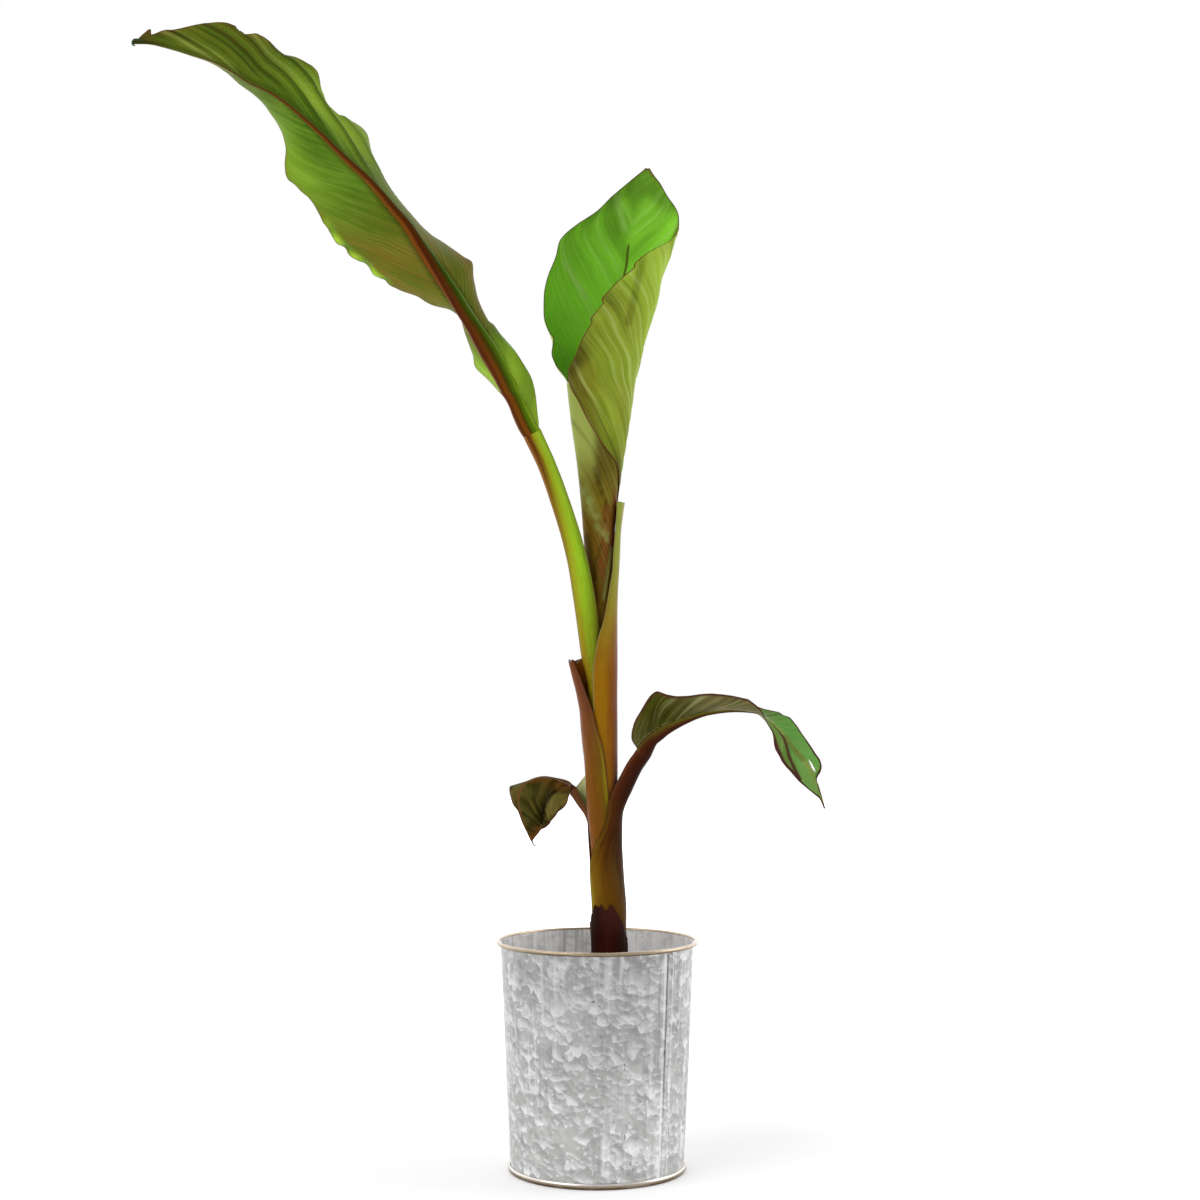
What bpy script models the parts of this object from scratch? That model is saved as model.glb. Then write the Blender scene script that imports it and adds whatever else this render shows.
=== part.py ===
"""Potted banana plant: a young banana with four leaves and two cut leaf stalks in a zinc bucket.

The axis of the bucket is the Z axis, and its flat underside is the plane z = 0. The stem is a
stack of leaf bases, each wrapped round the next younger one. Sizes below are in millimetres.
Angles are in degrees in the XY plane: 0 points right, 90 back, 180 left and 270 (or -90) to the
front.
"""
import math

import bmesh
import bpy
import numpy as np
from mathutils import Vector

MM = 0.001
GAP = 0.4               # clear space between neighbouring pieces
WRAP_GAP = 0.9          # the same between a leaf base and what it wraps
LEAD_IN = 14.0          # an outer leaf base makes room this far under an inner one's foot
MERGE = 0.01            # points nearer than this are one point
SHARP_ANGLE = 50.0      # edges that turn more than this stay crisp
COLLECTION = "banana_plant_in_bucket"

# ---------------------------------------------------------------- bucket and soil
POT_HEIGHT = 248.6
POT_TOP_RADIUS = 106.3
POT_FOOT_RADIUS = 94.5
SHEET = 1.2             # thickness of the bucket's metal sheet
BEAD_RADIUS = 2.3       # rolled wire at the rim
BEAD_RING_RADIUS = 109.0
FOOT_BAND_HEIGHT = 6.0
FOOT_BAND_THICKNESS = 1.6
SEAM_ANGLE = -43.0      # where the sheet's ends lap
SEAM_WIDTH = 6.0
SEAM_THICKNESS = 0.7
POT_STEPS = 60
BEAD_STEPS = 8
SEAM_END_GAP = 2.0      # between the seam and the foot band
SOIL_TOP = 205.0
SOIL_EDGE_DROP = 3.0
SOIL_FLAT_PART = 0.65   # share of the soil's radius that is level
STEM_FOOT = SOIL_TOP + GAP

# ---------------------------------------------------------------- stem
CIRCLE_COUNT = 80       # level circles that stand for a leaf base where another wraps it
# Level circles: height, centre x, centre y, radius.
CORE = [(STEM_FOOT, 14.5, 0.0, 12.2), (286, 11.8, 0.0, 12.0), (335, 8.6, 0.0, 11.6),
        (401, 6.0, 0.0, 11.0), (467, 4.6, 0.0, 10.2), (511, 3.8, 0.6, 9.8), (556, 3.2, 2.6, 9.2)]
CONE = [(556 + GAP, 3.2, 2.6, 9.2), (600, 3.5, 6.5, 11.2), (640, 2.6, 8.5, 14.0),
        (688, 1.6, 9.5, 17.4), (732, 1.4, 10.5, 20.4), (776, 2.0, 11.0, 25.4),
        (820, 2.6, 11.0, 32.0), (866, 3.4, 11.0, 38.0)]

# Leaf bases: height, centre x, centre y, radius, keel angle, reach clockwise and anticlockwise
# of the keel, thickness at the keel and at the margins, and how far the section turns with the
# stalk (0 is level, 1 is square to it).
RIGHT_CUT_STALK = [
    (386, 7.0, 0.0, 14.4, 0, 128, 128, 2.6, 1.0, 0),
    (401, 6.9, 0.0, 15.3, 0, 128, 128, 2.8, 1.0, 0),
    (423, 6.5, 0.0, 16.0, 0, 128, 128, 3.2, 1.0, 0),
    (467, 5.5, 0.0, 17.0, 0, 127, 127, 3.8, 1.0, 0),
    (511, 5.5, 0.0, 17.0, 0, 126, 126, 4.2, 1.0, 0),
    (548, 5.5, 0.0, 17.0, 0, 125, 118, 4.4, 1.0, 0),
    (570, 5.5, 0.0, 17.0, 0, 112, 106, 4.4, 1.0, 0),
    (585, 5.6, 0.5, 16.9, 0, 100, 100, 4.4, 1.0, 0),
    (595, 6.0, 1.0, 16.5, 0, 90, 94, 4.4, 1.0, 0),
    (616, 7.0, 2.5, 15.7, 0, 77, 85, 4.2, 1.1, 0),
    (636, 8.5, 3.5, 14.8, 0, 68, 76, 4.0, 1.1, 0),
    (654, 11.5, 5.0, 13.0, 0, 65, 70, 3.8, 1.2, 0),
    (671, 13.4, 6.0, 12.0, 0, 68, 70, 3.6, 1.2, 0),
    (696, 16.0, 7.0, 10.5, 0, 67, 68, 3.4, 1.2, 0),
    (729, 21.3, 8.0, 9.3, 0, 86, 80, 3.2, 1.2, 0)]
LEFT_CUT_STALK = [
    (300, 10.8, 0.0, 13.8, 185, 125, 125, 1.8, 1.0, 0),
    (335, 8.7, 0.0, 15.0, 185, 125, 125, 2.4, 1.0, 0),
    (357, 7.5, 0.0, 15.3, 185, 122, 122, 2.6, 1.0, 0),
    (380, 6.2, 0.0, 16.4, 184, 120, 120, 2.8, 1.0, 0),
    (401, 5.4, 0.0, 17.3, 182, 118, 116, 3.0, 1.0, 0),
    (423, 5.0, 0.0, 18.0, 180, 112, 110, 3.0, 1.0, 0),
    (445, 4.0, 0.0, 18.5, 180, 110, 104, 3.0, 1.1, 0),
    (463, 2.6, 0.0, 19.2, 180, 106, 98, 3.2, 1.1, 0),
    (479, 0.8, 0.0, 18.8, 180, 103, 87, 3.4, 1.2, 0),
    (499, -2.8, 0.0, 16.8, 180, 100, 82, 3.6, 1.2, 0),
    (519, -9.5, 0.5, 14.0, 180, 98, 78, 3.6, 1.2, 0),
    (537, -16.0, 1.0, 12.0, 180, 98, 75, 3.6, 1.2, 0),
    (554, -21.3, 1.5, 10.4, 180, 104, 62, 3.6, 1.2, 0)]
BIG_LEAF_STALK = [
    (470, 4.6, 0.0, 12.8, 205, 118, 118, 2.0, 1.0, 0),
    (511, 3.4, 0.0, 12.9, 205, 118, 118, 2.4, 1.0, 0),
    (540, 0.4, 0.0, 13.3, 207, 112, 115, 3.2, 1.0, 0),
    (555, -3.0, 0.0, 13.9, 208, 108, 112, 3.8, 1.1, 0),
    (575, -5.8, -0.5, 14.1, 211, 104, 106, 5.0, 1.2, 0),
    (600, -9.0, -1.5, 14.3, 216, 100, 100, 6.5, 1.4, 0),
    (621, -12.2, -4.5, 14.0, 222, 96, 96, 8.0, 1.6, 0.3),
    (665, -20.9, -11.0, 12.3, 235, 92, 92, 10.0, 2.0, 0.8),
    (727, -39.7, -22.0, 10.8, 250, 90, 90, 11.5, 2.4, 1),
    (770, -56.0, -31.0, 9.8, 258, 88, 88, 12.5, 2.6, 1),
    (802, -71.5, -37.5, 9.0, 262, 86, 86, 13.0, 2.8, 1)]
SMALL_LEAF_STALK = [
    (STEM_FOOT, 14.5, 0.0, 16.2, 160, 110, 110, 2.6, 1.0, 0),
    (250, 13.3, 0.0, 16.4, 160, 100, 105, 2.6, 1.0, 0),
    (286, 11.9, 0.0, 17.0, 160, 88, 92, 2.8, 1.0, 0),
    (315, 9.8, 0.3, 17.2, 160, 82, 58, 3.0, 1.0, 0),
    (335, 8.6, 1.0, 17.0, 158, 84, 38, 3.2, 1.0, 0),
    (352, 6.2, 4.0, 14.4, 155, 88, 40, 4.0, 1.2, 0),
    (368, 2.0, 9.5, 11.2, 152, 88, 55, 4.6, 1.4, 0),
    (386, -7.4, 15.5, 7.2, 150, 90, 90, 5.0, 1.5, 0.4),
    (400, -17.5, 19.5, 5.8, 165, 90, 90, 6.0, 1.5, 1),
    (411, -25.5, 22.3, 5.2, 178, 90, 90, 6.0, 1.5, 1)]
RIGHT_LEAF_STALK = [
    (STEM_FOOT, 14.5, 0.0, 18.4, -15, 145, 145, 2.4, 1.0, 0),
    (250, 13.4, 0.0, 18.6, -15, 145, 145, 2.6, 1.0, 0),
    (286, 12.5, 0.0, 19.8, -15, 145, 130, 2.8, 1.0, 0),
    (313, 10.9, 0.0, 19.1, -15, 145, 92, 3.0, 1.0, 0),
    (335, 10.2, 0.0, 18.2, -15, 140, 66, 3.2, 1.1, 0),
    (350, 10.1, 0.0, 17.6, -16, 122, 60, 3.6, 1.2, 0),
    (370, 10.6, -0.6, 17.2, -17, 88, 60, 4.2, 1.2, 0),
    (387, 12.6, -2.5, 16.2, -20, 74, 64, 5.0, 1.3, 0),
    (405, 21.6, -6.0, 11.6, -20, 110, 98, 8.5, 1.6, 0.3),
    (424, 31.4, -7.0, 9.3, -12, 122, 116, 10.0, 1.8, 0.9),
    (440, 39.7, -8.0, 8.8, -5, 128, 126, 11.0, 2.0, 1),
    (451.5, 47.8, -8.0, 8.5, 0, 130, 130, 11.0, 2.2, 1)]

# The torn old leaf base at the foot of the stem: angle and height of its ragged top edge.
OLD_BASE_TOP = [(100, 226), (140, 238), (172, 262), (196, 268), (212, 279), (226, 288),
                (238, 284), (248, 289), (256, 283), (266, 282), (276, 289), (290, 284),
                (306, 273), (330, 258), (358, 243), (400, 226), (440, 214)]
OLD_BASE_CLEAR = 0.6    # outside the right leaf's base
OLD_BASE_THICKNESS = 1.5
OLD_BASE_STRIPS = 48
OLD_BASE_LEVELS = (0.0, 0.35, 0.7, 1.0)

# ---------------------------------------------------------------- leaf blades
EDGE_THINNING = 0.45    # share of its thickness that a blade loses from the rib to the edge
TIP_THICKNESS = 0.25    # share of it that is left at the tip
# Rib, first edge and second edge of each blade from its foot to its tip (x, y, z). The rib and
# the edges are on the blade's upper face.
BIG_LEAF = [
    ((-73, -31.5, 806), (-81, -31, 801), (-66, -30, 809)),
    ((-77, -33, 812), (-86, -28, 816), (-62, -26, 816)),
    ((-84, -36, 825), (-93, -28, 833), (-65, -24, 829)),
    ((-92, -40, 841), (-98, -32, 841), (-71, -24, 860)),
    ((-100, -44, 857), (-122, -22, 868), (-82, -22, 881)),
    ((-112, -50, 879), (-135, -26, 887), (-98, -24, 906)),
    ((-124, -56, 899), (-144, -32, 910), (-112, -26, 920)),
    ((-135, -61, 917), (-150, -39, 932), (-124, -27, 938)),
    ((-145, -66, 932), (-161, -37, 939), (-132, -30, 957)),
    ((-153, -70, 945), (-175, -35, 943), (-136, -32, 976)),
    ((-164, -75, 962), (-194, -38, 952), (-138, -33, 990)),
    ((-177, -81, 981), (-219, -46, 959), (-169, -23, 1011.5)),
    ((-190, -86, 1000), (-244, -56, 974), (-190.5, -20, 1026.5)),
    ((-202, -91, 1018), (-265, -65, 992), (-208.5, -21, 1042.5)),
    ((-217, -96, 1035), (-285, -72, 1011), (-222.5, -24, 1058)),
    ((-230, -101, 1050), (-300, -77, 1036), (-233, -31, 1074.5)),
    ((-245, -106, 1066), (-316, -79, 1058), (-242, -40, 1096)),
    ((-260, -111, 1079), (-331, -81, 1072), (-252, -51, 1116)),
    ((-275, -116, 1093), (-336, -82, 1086), (-264, -62, 1133)),
    ((-290, -120, 1108), (-336, -84, 1106), (-279, -74, 1147)),
    ((-308, -124, 1124), (-345, -86, 1131), (-291, -88, 1162)),
    ((-325, -129, 1138), (-359, -89, 1150), (-303, -103, 1179)),
    ((-343, -133, 1150), (-373, -92, 1165), (-323, -115, 1193)),
    ((-364, -137, 1159), (-386, -95, 1177), (-345, -127, 1205)),
    ((-382, -141, 1170), (-396, -100, 1187), (-364, -137, 1213)),
    ((-398, -144, 1178), (-408, -107, 1195), (-386, -144, 1221)),
    ((-425, -148, 1186), (-430, -121, 1198), (-414, -150, 1217)),
    ((-449, -151, 1192), (-452, -135, 1199), (-439, -152, 1209)),
    ((-467, -152, 1195), (-467, -145, 1199), (-460, -152, 1204)),
    ((-485, -152, 1195), (-485, -150, 1197), (-484, -152, 1198))]
RIGHT_LEAF_ARCH = [
    ((47.5, -8, 455.2), (44.5, -15, 457.2), (44.5, -1, 457.2)),
    ((53, -8, 462.5), (37, -21, 470), (44, 8, 469)),
    ((59, -8, 469), (38, -27, 487), (48, 14, 482)),
    ((66, -8, 474), (48, -33, 504), (55, 20, 495)),
    ((73, -8, 479), (62, -37, 521), (67, 24, 507)),
    ((84, -8, 485), (77, -42, 517), (81, 28, 508)),
    ((98, -8, 491), (94, -48, 519), (99, 32, 511)),
    ((113, -8, 496), (114, -52, 519), (120, 34, 512)),
    ((131, -8, 499), (134, -54, 518), (139, 34, 512)),
    ((148, -8, 500), (152, -54, 516), (157, 32, 510)),
    ((164, -8, 499), (164, -48, 511), (170, 28, 506)),
    ((175, -8, 497), (174, -40, 503), (178, 24, 502))]
RIGHT_LEAF_DROOP = [
    ((177, -8, 496.5), (176, -38, 501), (181, 24, 501)),
    ((190, -8, 488), (186, -32, 486), (199, 14, 498)),
    ((199, -8, 479), (194, -26, 475), (209, 6, 495)),
    ((209, -8, 468), (199, -20, 459), (220, -2, 485)),
    ((217, -8, 457), (204, -16, 442), (229, -8, 469)),
    ((225, -8, 447), (212, -14, 432), (238, -12, 453)),
    ((233, -8, 436), (222, -13, 421), (245, -14, 440)),
    ((238, -8, 427), (231, -12, 413), (240.5, -13, 427.5)),
    ((242, -8, 415), (239, -10, 407), (243, -10, 416)),
    ((245.5, -8, 404), (244, -8, 403), (247, -8, 404)),
    ((250, -8, 392), (249.3, -8, 391.5), (250.5, -8, 392.4))]
SMALL_LEAF = [
    ((-29, 23.5, 417), (-29, 18, 415), (-28, 29, 416)),
    ((-38, 25, 421.5), (-33, 8, 398), (-31, 46, 417)),
    ((-48, 26, 424.5), (-38, 3, 391), (-44, 50, 415)),
    ((-60, 26, 426), (-43, 0, 387), (-60, 50, 416)),
    ((-72, 25, 423), (-48, -1, 381), (-78, 47, 414)),
    ((-81, 23, 417), (-52, -1, 376), (-92, 41, 415)),
    ((-86, 21, 409), (-57, 1, 371), (-98, 33, 413)),
    ((-87, 18, 398), (-62, 4, 368), (-96, 26, 401)),
    ((-84, 15, 384), (-65, 7, 364), (-92, 20, 391)),
    ((-79, 12, 369), (-69, 8, 359), (-82, 15, 374)),
    ((-72.5, 10, 355), (-72, 9.5, 354.5), (-73.5, 10.5, 355.5))]

# Hood of the rolled leaf, in level arcs: height, centre x, centre y, half width, half depth, and
# the angles of its free left edge and of the edge that wraps over the front.
HOOD = [
    (866 + GAP, 3.4, 11, 38.5, 38.5, 190, -156), (884, 0.5, 11, 46.5, 42, 188, -124),
    (911, 1.5, 11, 51.5, 44, 186, -108), (936, 1.0, 11, 60, 46, 186, -92),
    (954, 3.5, 11, 63, 46, 186, -84), (982, 8.0, 12, 64, 44, 184, -66),
    (1008, 17.8, 14, 64, 40, 182, -48), (1028, 24, 16, 63.5, 35, 180, -12),
    (1044, 35, 18, 58.5, 29, 180, 6), (1062, 47, 20, 44, 21, 180, 12),
    (1079, 48.5, 22, 30, 14, 180, 14), (1092, 52, 23, 15, 8, 178, 16),
    (1103, 57, 24, 3, 3, 176, 20)]
HOOD_ROWS = 22
HOOD_COLUMNS = 15
HOOD_THICKNESS = 5.0

COLOURS = {
    "zinc": ((0.52, 0.53, 0.54), 0.42, 0.85),
    "brassy_zinc": ((0.48, 0.40, 0.28), 0.38, 0.85),
    "soil": ((0.06, 0.04, 0.028), 0.95, 0.0),
    "ochre_stem": ((0.36, 0.21, 0.03), 0.45, 0.0),
    "brown_stem": ((0.20, 0.09, 0.025), 0.45, 0.0),
    "maroon_stem": ((0.07, 0.018, 0.012), 0.45, 0.0),
    "old_base": ((0.03, 0.012, 0.01), 0.55, 0.0),
    "lime_stalk": ((0.28, 0.42, 0.04), 0.42, 0.0),
    "olive_blade": ((0.14, 0.20, 0.03), 0.5, 0.0),
    "green_blade": ((0.12, 0.34, 0.05), 0.5, 0.0),
}


def material(name):
    """The named plain material, made once."""
    found = bpy.data.materials.get(name)
    if found:
        return found
    colour, roughness, metallic = COLOURS[name]
    made = bpy.data.materials.new(name)
    made.use_nodes = True
    shader = made.node_tree.nodes["Principled BSDF"]
    shader.inputs["Base Color"].default_value = (*colour, 1.0)
    shader.inputs["Roughness"].default_value = roughness
    shader.inputs["Metallic"].default_value = metallic
    return made


def add_object(name, mesh, collection, colour):
    """Put a mesh in the collection as a smooth-shaded object with one material."""
    mesh.name = name
    mesh.materials.append(material(colour))
    mesh.shade_smooth()
    mesh.set_sharp_from_angle(angle=math.radians(SHARP_ANGLE))
    made = bpy.data.objects.new(name, mesh)
    collection.objects.link(made)
    return made


def spline(rows, count):
    """Rows of numbers read evenly along a smooth curve through them; x, y, z are the first three."""
    rows = np.asarray(rows, float)
    steps = np.linalg.norm(np.diff(rows[:, :3], axis=0), axis=1)
    along = np.concatenate([[0.0], np.cumsum(steps)])
    slopes = np.gradient(rows, along, axis=0)
    wanted = np.linspace(0.0, along[-1], count)
    left = np.clip(np.searchsorted(along, wanted, side="right") - 1, 0, len(rows) - 2)
    span = (along[left + 1] - along[left])[:, None]
    part = (wanted[:, None] - along[left][:, None]) / span
    start, end = rows[left], rows[left + 1]
    rise_start, rise_end = slopes[left] * span, slopes[left + 1] * span
    square, cube = part ** 2, part ** 3
    return ((2 * cube - 3 * square + 1) * start + (cube - 2 * square + part) * rise_start
            + (3 * square - 2 * cube) * end + (cube - square) * rise_end)


def grid_mesh(points, closed=False, capped=False):
    """A mesh through rows of points in millimetres; closed joins each row's ends."""
    rows, columns = points.shape[:2]
    work = bmesh.new()
    faces_across = columns if closed else columns - 1
    bmesh.ops.create_grid(work, x_segments=faces_across, y_segments=rows - 1, size=1.0)
    work.verts.ensure_lookup_table()
    for index, vertex in enumerate(work.verts):
        row, column = divmod(index, faces_across + 1)
        vertex.co = Vector(points[row, column % columns] * MM)
    if closed:
        bmesh.ops.remove_doubles(work, verts=work.verts[:], dist=MERGE * MM)
    if capped:
        bmesh.ops.holes_fill(work, edges=[edge for edge in work.edges if edge.is_boundary])
        bmesh.ops.recalc_face_normals(work, faces=work.faces[:])
    mesh = bpy.data.meshes.new("grid")
    work.to_mesh(mesh)
    work.free()
    return mesh


# ---------------------------------------------------------------- bucket and soil
def turned(name, profile, collection, colour, closed=False):
    """A profile (radius, height) turned round the Z axis."""
    mesh = bpy.data.meshes.new(name)
    vertices = [(radius * MM, 0.0, height * MM) for radius, height in profile]
    edges = [(index, index + 1) for index in range(len(profile) - 1)]
    if closed:
        edges.append((len(profile) - 1, 0))
    mesh.from_pydata(vertices, edges, [])
    made = add_object(name, mesh, collection, colour)
    screw = made.modifiers.new("turn", "SCREW")
    screw.steps = POT_STEPS
    screw.render_steps = POT_STEPS
    screw.use_merge_vertices = True
    screw.merge_threshold = MERGE * MM
    screw.use_smooth_shade = True
    return made


def wall_radius(height):
    """Outer radius of the bucket's wall at a height."""
    return POT_FOOT_RADIUS + (POT_TOP_RADIUS - POT_FOOT_RADIUS) * height / POT_HEIGHT


def build_bucket(collection):
    top = POT_HEIGHT - BEAD_RADIUS
    turned("pot_wall", [
        (0.0, SHEET), (wall_radius(SHEET) - SHEET, SHEET), (wall_radius(top) - SHEET, top),
        (wall_radius(top), top), (wall_radius(0.0), 0.0), (0.0, 0.0)], collection, "zinc")
    inner = wall_radius(FOOT_BAND_HEIGHT) + GAP
    turned("pot_foot_band", [
        (inner + FOOT_BAND_THICKNESS, FOOT_BAND_HEIGHT), (inner + FOOT_BAND_THICKNESS, 0.0),
        (inner, 0.0), (inner, FOOT_BAND_HEIGHT)], collection, "brassy_zinc", closed=True)
    bpy.ops.mesh.primitive_torus_add(
        major_radius=BEAD_RING_RADIUS * MM, minor_radius=BEAD_RADIUS * MM,
        major_segments=POT_STEPS, minor_segments=BEAD_STEPS,
        location=(0.0, 0.0, (POT_HEIGHT - BEAD_RADIUS) * MM))
    bead = bpy.context.active_object
    mesh = bead.data
    place = bead.location.copy()
    bpy.data.objects.remove(bead)
    add_object("pot_rim_bead", mesh, collection, "brassy_zinc").location = place


def build_seam(collection):
    """The lapped seam, a flat strip that leans with the wall."""
    low, high = FOOT_BAND_HEIGHT + SEAM_END_GAP, POT_HEIGHT - 3.0 * BEAD_RADIUS
    work = bmesh.new()
    bmesh.ops.create_cube(work, size=MM)
    bmesh.ops.scale(work, vec=(SEAM_THICKNESS, SEAM_WIDTH, high - low), verts=work.verts[:])
    mesh = bpy.data.meshes.new("seam")
    work.to_mesh(mesh)
    work.free()
    seam = add_object("pot_side_seam", mesh, collection, "zinc")
    middle = 0.5 * (low + high)
    radius = (wall_radius(middle) + GAP + 0.5 * SEAM_THICKNESS) * MM
    angle = math.radians(SEAM_ANGLE)
    seam.location = (radius * math.cos(angle), radius * math.sin(angle), middle * MM)
    lean = math.atan((POT_TOP_RADIUS - POT_FOOT_RADIUS) / POT_HEIGHT)
    seam.rotation_euler = (0.0, lean, angle)


def build_soil(collection):
    floor = SHEET + GAP
    edge_height = SOIL_TOP - SOIL_EDGE_DROP
    turned("potting_soil", [
        (0.0, SOIL_TOP), (SOIL_FLAT_PART * POT_TOP_RADIUS, SOIL_TOP),
        (wall_radius(edge_height) - SHEET - GAP, edge_height),
        (wall_radius(floor) - SHEET - GAP, floor), (0.0, floor)], collection, "soil")


# ---------------------------------------------------------------- stem and stalks
def circle_at(table, height):
    """Centre and radius of a tapering piece at a height, or None above or below it."""
    table = np.asarray(table, float)
    if height < table[0, 0] or height > table[-1, 0]:
        return None
    return [np.interp(height, table[:, 0], table[:, column]) for column in (1, 2, 3)]


def push_out(points, wrapped, clearance):
    """Move points level and outwards until they are clear of the pieces they wrap."""
    for point in points:
        for table in wrapped:
            circle = circle_at(table, point[2])
            if circle is None:
                continue
            away = point[:2] - circle[:2]
            distance = np.linalg.norm(away)
            wanted = circle[2] + clearance
            if distance < wanted:
                point[:2] = np.array(circle[:2]) + away * wanted / max(distance, 0.01)


def arc_through(first, middle, last, count):
    """Points on the circle arc through three points of a plane."""
    (ax, ay), (bx, by), (cx, cy) = first, middle, last
    double = 2.0 * (ax * (by - cy) + bx * (cy - ay) + cx * (ay - by))
    if abs(double) < 0.001:
        return np.linspace(first, last, count)
    a2, b2, c2 = ax * ax + ay * ay, bx * bx + by * by, cx * cx + cy * cy
    centre = np.array([(a2 * (by - cy) + b2 * (cy - ay) + c2 * (ay - by)) / double,
                       (a2 * (cx - bx) + b2 * (ax - cx) + c2 * (bx - ax)) / double])
    radius = np.linalg.norm(first - centre)
    start, mid, end = [math.atan2(*(point - centre)[::-1]) for point in (first, middle, last)]
    turn = (end - start) % (2.0 * math.pi)
    if (mid - start) % (2.0 * math.pi) > turn:
        turn -= 2.0 * math.pi
    angles = start + turn * np.linspace(0.0, 1.0, count)
    return centre + radius * np.stack([np.cos(angles), np.sin(angles)], axis=1)


def stalk_rings(rows, count, across, wrapped):
    """Crescent sections of a leaf base and stalk, each a ring round its outer and inner face."""
    table = np.asarray(rows, float)
    table = np.column_stack([table[:, 1:3], table[:, 0], table[:, 3:]])
    table = spline(table, count)
    tangents = np.gradient(table[:, :3], axis=0)
    rings = []
    for row, tangent in zip(table, tangents):
        centre, radius, keel, clockwise, other, thick, thin, follow = row[:3], *row[3:]
        angles = np.radians(np.linspace(keel - clockwise, keel + other, across))
        outer = radius * np.stack([np.cos(angles), np.sin(angles)], axis=1)
        keel_way = np.array([math.cos(math.radians(keel)), math.sin(math.radians(keel))])
        shrink = (radius - thin) / radius
        inner = arc_through(outer[-1] * shrink, keel_way * (radius - thick), outer[0] * shrink, across)
        up = Vector((0, 0, 1)).lerp(Vector(tangent).normalized(), min(max(follow, 0.0), 1.0))
        turn = np.array(Vector((0, 0, 1)).rotation_difference(up.normalized()).to_matrix())
        sides = []
        for flat, clearance in ((outer, WRAP_GAP + thin), (inner, WRAP_GAP)):
            points = centre + np.column_stack([flat, np.zeros(across)]) @ turn.T
            push_out(points, wrapped, clearance)
            sides.append(points)
        rings.append(np.concatenate(sides))
    return np.array(rings)


def build_stalk(name, rows, count, across, wrapped, collection, colour):
    rings = stalk_rings(rows, count, across, wrapped)
    add_object(name, grid_mesh(rings, closed=True, capped=True), collection, colour)


def level_circles(rows, top=math.inf):
    """The smooth run of circles through a table that starts with height, centre and radius."""
    smooth = spline([(x, y, z, radius) for z, x, y, radius, *_ in rows], CIRCLE_COUNT)
    lead = (smooth[0][2] - LEAD_IN, smooth[0][0], smooth[0][1], smooth[0][3])
    return [lead] + [(z, x, y, radius) for x, y, z, radius in smooth if z <= top]


def build_tapered(name, table, count, sides, collection, colour):
    """A solid of level circles."""
    rows = [(x, y, z, radius) for z, x, y, radius in table]
    angles = np.linspace(0.0, 2.0 * math.pi, sides, endpoint=False)
    around = np.stack([np.cos(angles), np.sin(angles), np.zeros(sides)], axis=1)
    rings = [row[:3] + row[3] * around for row in spline(rows, count)]
    add_object(name, grid_mesh(np.array(rings), closed=True, capped=True), collection, colour)


def build_old_base(collection):
    """The ragged outermost leaf base, lofted round the stem with a different top at each angle."""
    heights = np.asarray(OLD_BASE_TOP, float)
    wall = level_circles(RIGHT_LEAF_STALK)
    rings = []
    for angle in np.linspace(heights[0, 0], heights[-1, 0], OLD_BASE_STRIPS):
        top = np.interp(angle, heights[:, 0], heights[:, 1])
        way = np.array([math.cos(math.radians(angle)), math.sin(math.radians(angle))])
        ring = []
        for side, levels in ((OLD_BASE_CLEAR, OLD_BASE_LEVELS),
                             (OLD_BASE_CLEAR + OLD_BASE_THICKNESS, OLD_BASE_LEVELS[::-1])):
            for level in levels:
                height = STEM_FOOT + level * (top - STEM_FOOT)
                x, y, radius = circle_at(wall, height)
                flat = np.array([x, y]) + way * (radius + side)
                ring.append([*flat, height])
        rings.append(ring)
    add_object("old_leaf_base", grid_mesh(np.array(rings), closed=True, capped=True),
               collection, "old_base")


def build_stem(collection):
    core, cone = level_circles(CORE), level_circles(CONE)
    big_leaf = level_circles(BIG_LEAF_STALK, 575)
    right_cut = level_circles(RIGHT_CUT_STALK, 575)
    left_cut = level_circles(LEFT_CUT_STALK, 480)
    small_leaf = level_circles(SMALL_LEAF_STALK, 372)
    build_tapered("stem_core", CORE, 12, 20, collection, "ochre_stem")
    build_stalk("big_leaf_stalk", BIG_LEAF_STALK, 27, 10, [core, cone], collection, "lime_stalk")
    build_stalk("right_cut_stalk", RIGHT_CUT_STALK, 25, 11, [core, cone, big_leaf], collection,
                "ochre_stem")
    build_stalk("left_cut_stalk", LEFT_CUT_STALK, 23, 11, [core, right_cut], collection,
                "brown_stem")
    build_stalk("small_leaf_stalk", SMALL_LEAF_STALK, 24, 10, [core, left_cut], collection,
                "brown_stem")
    build_stalk("right_leaf_stalk", RIGHT_LEAF_STALK, 27, 13, [core, small_leaf, left_cut],
                collection, "maroon_stem")
    build_old_base(collection)


# ---------------------------------------------------------------- blades
def blade_section(rib, edge, rib_half, belly, count):
    """Points from beside the rib to the edge, bowed sideways by the belly vector."""
    reach = max(np.linalg.norm(edge - rib), 0.001)
    start = min(rib_half / reach, 0.4)
    parts = np.concatenate([[start], start + (1.0 - start) * np.linspace(0.0, 1.0, count)[1:]])
    return [rib + (edge - rib) * part + belly * 4.0 * part * (1.0 - part) for part in parts]


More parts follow.
